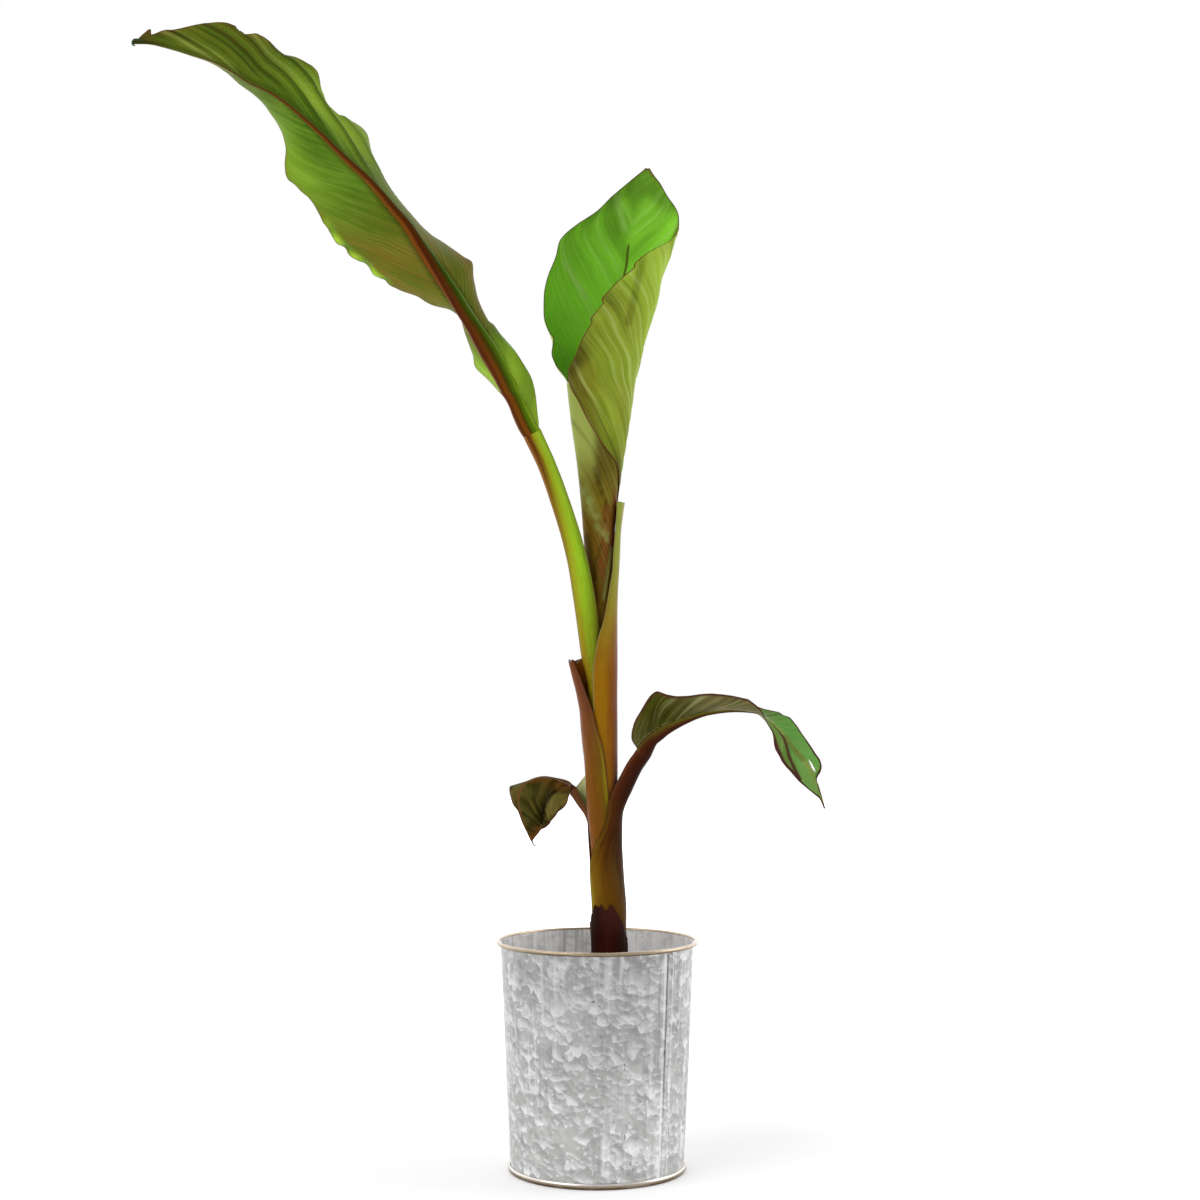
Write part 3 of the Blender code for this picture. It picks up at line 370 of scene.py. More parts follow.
def make_active(piece):
    deselect_all()
    piece.select_set(True)
    bpy.context.view_layer.objects.active = piece


def apply_modifier(piece, kind, **settings):
    """Add a modifier with these settings and apply it."""
    make_active(piece)
    bpy.ops.object.modifier_add(type=kind)
    modifier = piece.modifiers[-1]
    for name, value in settings.items():
        setattr(modifier, name, value)
    bpy.ops.object.modifier_apply(modifier=modifier.name)


def in_edit_mode(piece, *steps):
    """Run edit mode steps on the whole of a piece."""
    make_active(piece)
    bpy.ops.object.mode_set(mode="EDIT")
    bpy.ops.mesh.select_all(action="SELECT")
    for step in steps:
        step()
    bpy.ops.object.mode_set(mode="OBJECT")


def merge_and_turn_out(piece):
    in_edit_mode(piece, lambda: bpy.ops.mesh.remove_doubles(threshold=MERGE),
        lambda: bpy.ops.mesh.normals_make_consistent(inside=False))


def join(pieces, name):
    """Join pieces into the first one."""
    deselect_all()
    for piece in pieces:
        piece.select_set(True)
    bpy.context.view_layer.objects.active = pieces[0]
    bpy.ops.object.join()
    whole = bpy.context.active_object
    whole.name = whole.data.name = name
    return whole


def finish_piece(piece, nodes, angle=60):
    """Shade a piece, let it ride on the plant and stand for its nodes."""
    make_active(piece)
    bpy.ops.object.shade_smooth_by_angle(angle=math.radians(angle))
    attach(piece, BODY)
    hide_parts(*nodes)


def unit(vectors):
    vectors = np.asarray(vectors, float)
    return vectors / np.maximum(np.linalg.norm(vectors, axis=-1, keepdims=True), 1e-9)


def together(*values):
    """Values side by side for each point, as its place or as a map holds them."""
    return np.stack(np.broadcast_arrays(*values), axis=-1)


def face_normals(points):
    """The way that each point of a sheet faces."""
    return unit(np.cross(np.gradient(points, axis=1), np.gradient(points, axis=0)))


def closed_round(points):
    """Rings of points with their first point again at the end."""
    return np.concatenate([points, points[:, :1]], axis=1)


def by_part(*pairs):
    """A function through pairs of part of the length and value."""
    places, values = zip(*pairs)
    return lambda part: np.interp(part, places, values)


def ease(low, high, value):
    part = np.clip((np.asarray(value, float) - low) / (high - low), 0, 1)
    return part * part * (3 - 2 * part)


def lengths_along(points):
    """Distance from the first point to each point of a line."""
    steps = np.linalg.norm(np.diff(points, axis=0), axis=1)
    return np.concatenate([[0], np.cumsum(steps)])


def spline(rows, count, along=None):
    """Rows of numbers read evenly along a smooth curve; x, y, z are the first three."""
    rows = np.asarray(rows, float)
    along = lengths_along(rows[:, :3]) if along is None else along
    slopes = np.gradient(rows, along, axis=0)
    wanted = np.linspace(0, along[-1], count)
    left = np.clip(np.searchsorted(along, wanted, side="right") - 1, 0, len(rows) - 2)
    span = (along[left + 1] - along[left])[:, None]
    part = (wanted[:, None] - along[left][:, None]) / span
    start, end = rows[left], rows[left + 1]
    square, cube = part ** 2, part ** 3
    return ((2 * cube - 3 * square + 1) * start + (cube - 2 * square + part) * slopes[left] * span
        + (3 * square - 2 * cube) * end + (cube - square) * slopes[left + 1] * span)


def sheet(name, points, maps, closed=False):
    """A grid primitive moved on to rows of points, with its own maps; closed welds its sides."""
    rows, columns = points.shape[:2]
    deselect_all()
    bpy.ops.mesh.primitive_grid_add(x_subdivisions=columns - 1, y_subdivisions=rows - 1, size=1)
    piece = bpy.context.active_object
    mesh = piece.data
    piece.name = mesh.name = name
    mesh.vertices.foreach_set("co", (points * MM).astype(np.float32).ravel())
    corners = np.zeros(len(mesh.loops), np.int32)
    mesh.loops.foreach_get("vertex_index", corners)
    while mesh.uv_layers:
        mesh.uv_layers.remove(mesh.uv_layers[0])
    for key, values in maps.items():
        layer = mesh.uv_layers.new(name=key)
        flat = np.asarray(values, np.float32).reshape(-1, 2)[corners]
        layer.data.foreach_set("uv", flat.ravel())
    mesh.update()
    if closed:
        merge_and_turn_out(piece)
    return piece


def cap_ends(piece, material_index):
    """Close the open ends of a tube with faces of another material."""
    work = bmesh.new()
    work.from_mesh(piece.data)
    made = bmesh.ops.holes_fill(work, edges=[edge for edge in work.edges if edge.is_boundary])
    for face in made["faces"]:
        face.material_index = material_index
    bmesh.ops.recalc_face_normals(work, faces=work.faces[:])
    work.to_mesh(piece.data)
    work.free()


def tube(name, rings, maps, *materials):
    """A closed tube through rings of points, its ends capped in the last material."""
    piece = sheet(name, rings, maps, closed=True)
    for material in materials:
        piece.data.materials.append(material)
    cap_ends(piece, len(materials) - 1)
    return piece


def grain(point, scale, seed=0):
    """Smooth noise from -1 to 1 at a point in millimetres."""
    return noise.noise(Vector(point) * (1 / scale) + Vector((seed, seed * 0.7, seed * 1.3)))


def grain_over(points, scale, seed):
    """Grain at every point of a sheet."""
    return np.array([[grain(point, scale, seed) for point in row] for row in points])


def stroke(points, line, width):
    """How near points are to a line in the XZ plane: 1 on it, 0 a width away."""
    flat = points[..., (0, 2)]
    nearest = np.full(flat.shape[:-1], 1000)
    for start, end in zip(line[:-1], line[1:]):
        start, way = np.array(start, float), np.subtract(end, start).astype(float)
        part = np.clip((flat - start) @ way / (way @ way), 0, 1)
        gap = flat - start - part[..., None] * way
        nearest = np.minimum(nearest, np.linalg.norm(gap, axis=-1))
    return ease(width, 0.3 * width, nearest)


def tendril(name, path, radii, material):
    """A thin withered tip: a round tube along a path, with its points in millimetres."""
    rows = spline(np.column_stack([path, radii]), 24)
    way = unit(np.gradient(rows[:, :3], axis=0))
    first = unit(np.cross(way, (0, 1, 0)))
    second = np.cross(way, first)
    turn = np.linspace(0, TURN, 11)[None, :, None]
    rings = rows[:, None, :3] + rows[:, 3][:, None, None] * (np.cos(turn) * first[:, None]
        + np.sin(turn) * second[:, None])
    flow = together(np.zeros((1, 11)), lengths_along(rows[:, :3])[:, None] * MM)
    empty = np.zeros(flow.shape)
    return tube(name, rings, {"flow": flow, "marks": empty + 0.02, "spots": empty, "tints": empty},
        material)


# ---------- shader building
def rgba(colour):
    """A colour in thousandths as a socket takes it."""
    return (*[value / 1000 for value in colour], 1)


def dimmed(colour, share):
    return tuple(share * value for value in colour)


class Nodes:
    """A short way to add and link shader nodes in one tree."""

    def __init__(self, tree):
        self.tree = tree

    def link(self, value, socket):
        self.tree.links.new(value, socket)

    def add(self, kind, inputs=None, **settings):
        node = self.tree.nodes.new(kind)
        for name, value in settings.items():
            setattr(node, name, value)
        for key, value in (inputs or {}).items():
            if isinstance(value, bpy.types.NodeSocket):
                self.link(value, node.inputs[key])
            else:
                node.inputs[key].default_value = value
        return node

    def math(self, operation, first, second=0, third=0, clamp=False):
        return self.add("ShaderNodeMath", {0: first, 1: second, 2: third}, operation=operation,
            use_clamp=clamp).outputs[0]

    def plus(self, first, second):
        return self.math("ADD", first, second)

    def minus(self, first, second):
        return self.math("SUBTRACT", first, second)

    def times(self, first, second, clamp=False):
        return self.math("MULTIPLY", first, second, clamp=clamp)

    def smooth(self, value, low, high, out_low=0, out_high=1):
        return self.add("ShaderNodeMapRange", {0: value, 1: low, 2: high, 3: out_low, 4: out_high},
            interpolation_type="SMOOTHSTEP").outputs[0]

    def mix(self, factor, first, second, blend="MIX"):
        """A colour mix; plain colours are tuples."""
        first, second = [rgba(v) if isinstance(v, tuple) else v for v in (first, second)]
        return self.add("ShaderNodeMix", {0: factor, 6: first, 7: second}, data_type="RGBA",
            blend_type=blend).outputs[2]

    def tinted(self, colour, tint):
        return self.mix(1, colour, tint, "MULTIPLY")

    def lay(self, colour, other, value, low, high, share=1):
        """Lay another colour over one where a value runs from low to high, up to a share."""
        mask = self.smooth(value, low, high)
        return self.mix(self.times(mask, share) if share < 1 else mask, colour, other)

    def ramp(self, factor, stops):
        """A soft colour ramp; a stop is a place and the three values of its colour."""
        node = self.add("ShaderNodeValToRGB", {0: factor})
        ramp = node.color_ramp
        ramp.interpolation = "EASE"
        while len(ramp.elements) > 1:
            ramp.elements.remove(ramp.elements[-1])
        for index, (place, *colour) in enumerate(stops):
            element = ramp.elements[0] if index == 0 else ramp.elements.new(place)
            element.position = place
            element.color = rgba(colour)
        return node.outputs[0]

    def vector(self, x, y, z):
        return self.add("ShaderNodeCombineXYZ", {0: x, 1: y, 2: z}).outputs[0]

    def parts(self, vector):
        return self.add("ShaderNodeSeparateXYZ", {0: vector}).outputs

    def vectors(self, operation, first, second):
        return self.add("ShaderNodeVectorMath", {0: first, 1: second},
            operation=operation).outputs[0]

    def scaled(self, vector, scale):
        return self.vectors("MULTIPLY", vector, scale)

    def texture(self, vector, scale, detail, roughness):
        return self.add("ShaderNodeTexNoise", {"Vector": vector, "Scale": scale, "Detail": detail,
            "Roughness": roughness}).outputs

    def noise(self, vector, scale=1, detail=2, roughness=0.5):
        return self.texture(vector, scale, detail, roughness)[0]

    def streaky(self, first, first_scale, second, second_scale, seed, detail, roughness=0.5):
        """Noise over two values, each drawn out by its own scale."""
        place = self.vector(self.times(first, first_scale), self.times(second, second_scale), seed)
        return self.noise(place, 1, detail, roughness)

    def cells(self, vector, scale):
        return self.add("ShaderNodeTexVoronoi", {"Vector": vector, "Scale": scale}).outputs

    def own_map(self, name):
        return self.add("ShaderNodeUVMap", uv_map=name).outputs[0]

    def place(self):
        return self.add("ShaderNodeTexCoord").outputs["Object"]

    def group(self, name, inputs):
        return self.add("ShaderNodeGroup", inputs, node_tree=bpy.data.node_groups[name]).outputs


FLOAT, VECTOR = "NodeSocketFloat", "NodeSocketVector"


def new_group(name, inputs, outputs):
    """A shader node group with named sockets: its builder, its inputs and its output node."""
    tree = bpy.data.node_groups.new(name, "ShaderNodeTree")
    for key, kind, value in inputs:
        socket = tree.interface.new_socket(key, in_out="INPUT", socket_type=kind)
        if value is not None:
            socket.default_value = value
    for key in outputs:
        tree.interface.new_socket(key, in_out="OUTPUT", socket_type=FLOAT)
    build = Nodes(tree)
    return build, build.add("NodeGroupInput").outputs, build.add("NodeGroupOutput").inputs


def build_groups():
    """The effects that several finishes share."""
    build, given, result = new_group("leaf_veins", [("Flow", VECTOR, None),
        ("Spacing", FLOAT, 0.011)], ("Lines", "Fine", "Broad", "Height"))
    foot, out, _ = build.parts(given["Flow"])
    wander = build.streaky(foot, 60, out, 14, 0, 2)
    shifted = build.plus(foot, build.times(wander, 0.004))
    tooth = build.math("PINGPONG", build.math("DIVIDE", shifted, given["Spacing"]), 0.5)
    line = build.smooth(tooth, 0, 0.085, 1, 0)
    keep = build.smooth(build.streaky(foot, 47, out, 22, 3, 2), 0.42, 0.62)
    fine = build.streaky(shifted, 620, out, 26, 5, 3, 0.6)
    swell = build.times(build.smooth(tooth, 0, 0.5), 0.8)
    build.link(build.times(line, keep), result["Lines"])
    build.link(fine, result["Fine"])
    build.link(build.streaky(shifted, 95, out, 11, 7, 3, 0.55), result["Broad"])
    build.link(build.plus(build.times(fine, 0.6), swell), result["Height"])

    build, given, result = new_group("stalk_fibres", [("Flow", VECTOR, None)],
        ("Streaks", "Fine", "Blotches", "Height"))
    around, along, _ = build.parts(given["Flow"])
    streaks = build.streaky(around, 6, along, 14, 0, 3, 0.6)
    fine = build.streaky(around, 34, along, 45, 2, 4, 0.65)
    build.link(streaks, result["Streaks"])
    build.link(fine, result["Fine"])
    build.link(build.streaky(around, 2.6, along, 42, 9, 4, 0.6), result["Blotches"])
    build.link(build.plus(fine, build.times(streaks, 0.6)), result["Height"])

    build, given, result = new_group("edge_line", [("Distance", FLOAT, 0), ("Width", FLOAT, 0.001),
        ("Place", VECTOR, None)], ("Mask",))
    width = build.times(given["Width"], build.plus(build.noise(given["Place"], 90), 0.55))
    part = build.math("DIVIDE", given["Distance"], width)
    build.link(build.smooth(part, 0.55, 1.25, 1, 0), result["Mask"])


def new_material(name):
    """A material with a Principled BSDF: itself, its node builder and the shader's inputs."""
    made = bpy.data.materials.new(name)
    made.use_nodes = True
    build = Nodes(made.node_tree)
    return made, build, made.node_tree.nodes["Principled BSDF"].inputs


def set_surface(build, shader, colour, roughness, height, strength, distance):
    """Link a material's colour, its roughness and the bump of a height in metres."""
    build.link(colour, shader["Base Color"])
    build.link(roughness, shader["Roughness"])
    bump = build.add("ShaderNodeBump", {"Height": height, "Strength": strength,
        "Distance": distance})
    build.link(bump.outputs[0], shader["Normal"])


def set_waxy(shader):
    """The faint gloss of a waxy leaf."""
    shader["Specular IOR Level"].default_value = WAX_SPECULAR
    shader["IOR"].default_value = WAX_IOR


def leaf_material(name, light, deep, vein, flush=None, flush_amount=0, edge=(50, 15, 10),
        edge_width=0.0016, spacing=0.011, roughness=0.42, vein_amount=0.5, rib_colour=None,
        rib_width=0.003, bright=None, dry=(120, 50, 15)):
    """A leaf face: green with light veins, a flush between them and a dark margin.

    The piece's map flow is where a vein starts along the rib and how far out it is, in metres;
    marks is the distance to the margin in metres and the flush; spots is dryness and brightness,
    which in places is painted light; the fourth map is how dark a fold, a crease or a mark is,
    mostly painted shade, and how pale a line is, which on fold crests is a painted highlight.
    """
    made, build, shader = new_material(name)
    flow = build.own_map("flow")
    marks, spots, tints = [build.parts(build.own_map(key)) for key in ("marks", "spots", "tints")]
    place = build.place()
    veins = build.group("leaf_veins", {"Flow": flow, "Spacing": spacing})
    patches = build.noise(place, 22, 4, 0.6)
    tone = build.plus(build.times(veins["Broad"], 0.55), build.times(patches, 0.45))
    colour = build.lay(deep, light, tone, 0.36, 0.64)
    if bright:
        colour = build.mix(spots[1], colour, bright)
    if flush:
        break_up = build.plus(build.times(veins["Broad"], 0.9), build.times(patches, 0.5))
        mask = build.times(marks[1], build.smooth(break_up, 0.45, 0.85, 0.45, 1.25))
        colour = build.mix(build.times(mask, flush_amount, clamp=True), colour, flush)
    colour = build.lay(colour, vein, veins["Fine"], 0.5, 0.78, 0.22)
    colour = build.lay(colour, dimmed(deep, 0.45), veins["Fine"], 0.5, 0.25, 0.22)
    colour = build.mix(build.times(veins["Lines"], vein_amount), colour, vein)
    if rib_colour:
        near = build.smooth(build.parts(flow)[1], rib_width * 0.7, rib_width * 1.3, 1, 0)
        colour = build.mix(near, colour, rib_colour)
    # Pale lines, with painted highlights on fold crests, then painted shade where the fourth map
    # is dark.
    colour = build.mix(tints[1], colour, vein)
    colour = build.mix(tints[0], colour, build.tinted(colour, (220, 200, 200)))
    colour = build.mix(build.times(spots[0], 1, clamp=True), colour, dry)
    mask = build.group("edge_line", {"Distance": marks[0], "Width": edge_width, "Place": place})
    colour = build.mix(mask["Mask"], colour, edge)
    rough = build.plus(roughness - 0.08, build.times(veins["Fine"], 0.16))
    set_surface(build, shader, colour, rough, veins["Height"], 0.35, 0.0006)
    set_waxy(shader)
    return made


def stalk_material(name, lime=LIME, roughness=0.36):
    """A stalk or leaf base: colours round its outer face that change with height, with fibres.

    The stops round the outer face run from its left-hand margin, 0, to the right-hand one, 1,
    seen from outside with the stalk upright.
    """
    low_height, high_height, inner, edge, *levels = STALK_LOOKS[name]
    made, build, shader = new_material(name + "_skin")
    flow = build.own_map("flow")
    around = build.parts(flow)[0]
    place = build.place()
    fibres = build.group("stalk_fibres", {"Flow": flow})
    drift = build.minus(fibres["Streaks"], 0.5)
    wavy = build.plus(build.math("MULTIPLY_ADD", around, 0.5, 0.5), build.times(drift, 0.22))
    rise = build.plus(build.parts(place)[2], build.times(drift, 0.05))
    colour, high, *middle = [build.ramp(wavy, [
        (place, *(lime if tuple(colour) == LIME else colour)) for place, *colour in stops])
        for stops in levels]
    if middle:
        half = 0.5 * (low_height + high_height)
        colour = build.lay(colour, middle[0], rise, low_height, half)
        low_height = half
    colour = build.lay(colour, high, rise, low_height, high_height)
    if inner:
        colour = build.lay(colour, inner, around, 1.02, 1.10)
    colour = build.lay(colour, build.tinted(colour, (550, 450, 400)), fibres["Blotches"], 0.52,
        0.72, 0.3)
    colour = build.lay(colour, build.tinted(colour, (1500, 1450, 1400)), fibres["Fine"], 0.5, 0.75,
        0.25)
    colour = build.lay(colour, dimmed(edge, 0.4), build.noise(place, 260), 0.66, 0.74, 0.25)
    rim = build.math("ABSOLUTE", build.minus(build.math("ABSOLUTE", around), 1))
    colour = build.mix(build.smooth(rim, 0.02, 0.05, 1, 0), colour, edge)
    rough = build.plus(roughness - 0.08, build.times(fibres["Fine"], 0.2))
    set_surface(build, shader, colour, rough, fibres["Height"], 0.3, 0.0008)
    set_waxy(shader)
    return made


def cut_material(name, colour, dark):
    """A dried cut through a leaf stalk."""
    made, build, shader = new_material(name)
    place = build.place()
    cells = build.cells(place, 900)[0]
    mottled = build.noise(place, 160, 3)
    face = build.lay(build.lay(dark, colour, mottled, 0.35, 0.65), dark, cells, 0.25, 0.05)
    set_surface(build, shader, face, build.smooth(mottled, 0.3, 0.7, 0.6, 0.85), cells, 0.5,
        0.0005)
    return made


# ---------- stem and stalks
def circle_at(table, height):
    """Centre and radius of a tapering piece at a height, or None above or below it."""
    if height < table[0, 0] or height > table[-1, 0]:
        return None
    return [np.interp(height, table[:, 0], table[:, column]) for column in (1, 2, 3)]


def push_out(points, wrapped, clearance):
    """Move points level and outwards until they are clear of the pieces they wrap."""
    for table in wrapped:
        for point in points:
            circle = circle_at(table, point[2])
            if circle is None:
                continue
            away = point[:2] - circle[:2]
            distance = np.linalg.norm(away)
            wanted = circle[2] + clearance
            if distance < wanted:
                point[:2] = np.array(circle[:2]) + away * wanted / max(distance, 0.01)


def arc_through(first, middle, last, count):
    """Points on the circle arc through three points of a plane."""
    (ax, ay), (bx, by), (cx, cy) = first, middle, last
    double = 2 * (ax * (by - cy) + bx * (cy - ay) + cx * (ay - by))
    if abs(double) < 0.001:
        return np.linspace(first, last, count)
    a2, b2, c2 = ax * ax + ay * ay, bx * bx + by * by, cx * cx + cy * cy
    centre = np.array([(a2 * (by - cy) + b2 * (cy - ay) + c2 * (ay - by)) / double,
        (a2 * (cx - bx) + b2 * (ax - cx) + c2 * (bx - ax)) / double])
    radius = np.linalg.norm(first - centre)
    start, mid, end = [math.atan2(*(point - centre)[::-1]) for point in (first, middle, last)]
    turn = (end - start) % TURN
    if (mid - start) % TURN > turn:
        turn -= TURN
    angles = start + turn * np.linspace(0, 1, count)
    return centre + radius * np.stack([np.cos(angles), np.sin(angles)], axis=1)


def stalk_rings(rows, count, across, wrapped):
    """Crescent sections of a leaf base and stalk, each a ring round its outer and inner face."""
    table = np.asarray(rows, float)
    table = np.column_stack([table[:, 1:3], table[:, 0], table[:, 3:]])
    table = spline(table, count)
    tangents = np.gradient(table[:, :3], axis=0)
    rings = []
    for row, tangent in zip(table, tangents):
        centre, radius, keel, clockwise, other, thick, thin, follow = row[:3], *row[3:]
        angles = np.radians(np.linspace(keel - clockwise, keel + other, across))
        outer = radius * np.stack([np.cos(angles), np.sin(angles)], axis=1)
        keel_way = np.array([math.cos(math.radians(keel)), math.sin(math.radians(keel))])
        shrink = (radius - thin) / radius
        inner = arc_through(outer[-1] * shrink, keel_way * (radius - thick), outer[0] * shrink,
            across)
        up = Vector((0, 0, 1)).lerp(Vector(tangent).normalized(), min(max(follow, 0), 1))
        turn = np.array(Vector((0, 0, 1)).rotation_difference(up.normalized()).to_matrix())
        sides = []
        for flat, clearance in ((outer, WRAP_GAP + thin), (inner, WRAP_GAP)):
            points = centre + np.column_stack([flat, np.zeros(across)]) @ turn.T
            push_out(points, wrapped, clearance)
            sides.append(points)
        rings.append(np.concatenate(sides))
    return np.array(rings)


def level_circles(rows, top=math.inf):
    """The smooth run of circles through a table that starts with height, centre and radius."""
    smooth = spline([(x, y, z, radius) for z, x, y, radius, *_ in rows], 80)
    lead = (smooth[0][2] - LEAD_IN, smooth[0][0], smooth[0][1], smooth[0][3])
    return np.array([lead] + [(z, x, y, radius) for x, y, z, radius in smooth if z <= top])


def places_round(across):
    """Places round a stalk's ring: -1 to 1 over its outer face and on to 3 over its inner one."""
    return np.concatenate([np.linspace(-1, 1, across), np.linspace(1, 3, across)])


def round_flow(along, across):
    """Map of a stalk: its places round the ring and metres along it."""
    return together(np.append(places_round(across), 3), along[:, None] * MM)


def stalk_surface(name, count, across, wrapped=()):
    """A stalk's rings with slight unevenness, level and outwards from each ring's middle."""
    rows, size, scale, seed = STALKS[name]
    rings = stalk_rings(rows, count, across, wrapped)
    ways = unit(rings - rings.mean(axis=1, keepdims=True))
    return rings + ways * grain_over(rings * (1, 1, 0.25), scale, seed)[..., None] * size


def ragged_top(rings, across, profile, depth):
    """Raise or lower a stalk's cut end by a profile round it, over a depth below the end."""
    around = places_round(across)
    outer_place = np.where(around > 1, 2 - around, around)
    places, lifts = zip(*profile)
    lift = np.interp(outer_place, places, lifts)
    top = rings[-1, :, 2].mean()
    weight = ease(top - depth, top, rings[..., 2])
    raised = rings.copy()
    raised[..., 2] += weight * lift
    return raised


def build_stem_pieces(settings):
    """The five leaf bases with their stalks, and the torn old base."""
    core, cone = level_circles(CORE), level_circles(CONE)
    big_leaf = level_circles(BIG_LEAF_STALK, 575)
    right_cut = level_circles(RIGHT_CUT_STALK, 575)
    left_cut = level_circles(LEFT_CUT_STALK, 480)
    small_leaf = level_circles(SMALL_LEAF_STALK, 372)
    across = settings.columns
    lime = tuple(1000 * value for value in settings.lime)
    cut = cut_material("dried_cut", (300, 200, 100), (50, 22, 10))
    wraps = {"big_leaf_stalk": [core, cone],
             "right_cut_stalk": [core, cone, big_leaf],
             "left_cut_stalk": [core, right_cut],
             "small_leaf_stalk": [core, left_cut],
             "right_leaf_stalk": [core, small_leaf, left_cut]}
    for name, wrapped in wraps.items():
        rings = stalk_surface(name, settings.rows, across, wrapped)
        if name in RAGGED_TOPS:
            rings = ragged_top(rings, across, *RAGGED_TOPS[name])
        along = lengths_along(rings.mean(axis=1))
        skin = stalk_material(name, lime)
        piece = tube(name + "_fine", closed_round(rings), {"flow": round_flow(along, across)},
            skin, cut)
        finish_piece(piece, [name])
    build_old_base()


def build_old_base():
    """The ragged outermost leaf base, with a different top at each angle."""
    heights = np.asarray(OLD_BASE_TOP, float)
    wall = level_circles(RIGHT_LEAF_STALK)
    levels = np.linspace(0, 1, 22)
    rings = []
    for angle in np.linspace(heights[0, 0], heights[-1, 0], 200):
        top = np.interp(angle, heights[:, 0], heights[:, 1])
        top += 1.6 * grain((angle, 0, 0), 5, 2) + 0.8 * grain((angle, 0, 0), 1.7, 4)
        way = np.array([math.cos(math.radians(angle)), math.sin(math.radians(angle))])
        ring = []
        for side, steps in ((OLD_BASE_CLEAR, levels),
                            (OLD_BASE_CLEAR + OLD_BASE_THICKNESS, levels[::-1])):
            for level in steps:
                height = STEM_FOOT + level * (top - STEM_FOOT)
                x, y, radius = circle_at(wall, height)
                thin = 0.55 * (side - OLD_BASE_CLEAR) * level ** 3
                flare = 1.2 * level ** 6 * max(0, grain((angle, 9, 0), 16, 1) + 0.3)
                wave = 0.35 * grain((angle * 0.35, 0, height * 0.08), 2, 6)
                flat = np.array([x, y]) + way * (radius + side - thin + flare + wave)
                ring.append([*flat, height])
        rings.append(ring)
    rings = closed_round(np.array(rings))
    flow = together(np.linspace(-0.9, 0.9, len(rings))[:, None], rings[..., 2] * MM)
    skin = stalk_material("old_leaf_base", roughness=0.3)
    piece = tube("old_leaf_base_fine", rings, {"flow": flow}, skin)
    finish_piece(piece, ["old_leaf_base"])


# ---------- leaf blades
def blade_grid(stations, count, across, rib_half, groove, belly, lean, bend=0, pleat=0.25,
        spacing=11, waves=(), trims=((0, 0), (0, 0)), spikes=(), ripple=0, seed=0, rib_share=0.4):
    """Rows of points of a blade's upper face, with its maps.

    Rib_half and groove are functions of the part of the length, and lean of the part and the side.
    Lean and bend say how far a vein runs towards the tip for each step out.
    """
    rows = spline(stations, count)
    rib, edges = rows[:, 0:3], (rows[:, 3:6], rows[:, 6:9])
    tangent = unit(np.gradient(rib, axis=0))
    along = lengths_along(rib)
    part = along / along[-1]
    half, dip = rib_half(part), groove(part)
    spread = 1 - (1 - np.linspace(0, 1, across)) ** 1.35
    halves, outs, margins = [], [], []
    for side, (edge, sign) in enumerate(zip(edges, (1, -1))):
        reach = np.linalg.norm(edge - rib, axis=1)
        way = unit(edge - rib)
        normal = unit(sign * np.cross(tangent, edge - rib))
        extra = np.interp(part, np.linspace(0, 1, len(trims[side])), trims[side])
        for spike_side, place, length, up in spikes:
            if spike_side == side:
                extra = extra + up * np.clip(1 - np.abs(along - place) / length, 0, 1)
        lift = np.zeros(count)
        for wave_side, place, length, up in waves:
            if wave_side == side:
                lift += up * np.clip(1 - ((along - place) / length) ** 2, 0, 1) ** 2
        start = np.minimum(half / np.maximum(reach, 0.001), rib_share)
        points, out = [], []
        for place in spread:
            where = start + (1 - start) * place
            bow = normal * (belly * reach * 4 * where * (1 - where))[:, None]
            point = rib + way * ((reach + extra * place ** 3) * where)[:, None] + bow
            swing = ripple * place ** 2 * np.sin(along / 9 + 2 * side + seed)
            point = point + normal * (lift * place ** 4 + swing)[:, None]
            points.append(point)
            out.append(where * reach)
        points = np.stack(points, axis=1)
        halves.append(points)
        outs.append(np.stack(out, axis=1))
        margins.append((reach * (1 - start))[:, None] * (1 - spread)[None, :])
    first_foot, second_foot = halves[0][:, 0], halves[1][:, 0]
    under = unit(np.cross(second_foot - first_foot, tangent))
    middle, middle_out = [], []
    for step in (-0.6, -0.25, 0.25, 0.6):
        mixed = 0.5 * (1 - step) * first_foot + 0.5 * (1 + step) * second_foot
        middle.append(mixed + under * (dip * (1 - step * step))[:, None])
        middle_out.append(np.abs(step) * half)
    middle, middle_out = np.stack(middle, axis=1), np.stack(middle_out, axis=1)
    points = np.concatenate([halves[0][:, ::-1], middle, halves[1]], axis=1)
    out = np.concatenate([outs[0][:, ::-1], middle_out, outs[1]], axis=1)
    margin = np.concatenate([margins[0][:, ::-1], np.full(middle_out.shape, 90), margins[1]],
        axis=1)
    margin = np.minimum(margin, (along[-1] - along)[:, None] * 0.5)
    offset = points - rib[:, None]
    forward = np.einsum("rcx,rx->rc", offset, tangent)
    sideways = np.sqrt(np.maximum((offset ** 2).sum(-1) - forward ** 2, 0))
    side = np.concatenate([-np.ones(across), np.zeros(4), np.ones(across)])
    lean = lean(part[:, None], side[None, :]) if callable(lean) else lean
    foot = along[:, None] + forward - lean * sideways - bend * sideways ** 2
    normal = face_normals(points)
    wave = np.sin(TURN * foot / spacing) + 0.4 * np.sin(4.7 * math.pi * foot / spacing + 1)
    fade = ease(0.5, 12, out - half[:, None]) * ease(0, 10, margin)
    points = points + normal * (pleat * wave * fade)[..., None]
    return points, {"flow": together(foot, out) * MM, "margin": margin * MM,
        "part": np.broadcast_to(part[:, None], margin.shape), "along": along, "rib": rib,
        "tangent": tangent, "under": under, "half": half, "side": side,
        "feet": 0.5 * (first_foot + second_foot),
        "width": 0.5 * np.linalg.norm(second_foot - first_foot, axis=1),
        "dip": under * dip[:, None]}


def blade_places(facts):
    """Part of the length, side, distance to the margin and distance out, in millimetres."""
    return (facts["part"], facts["side"][None, :], facts["margin"] * 1000,
        facts["flow"][..., 1] * 1000)


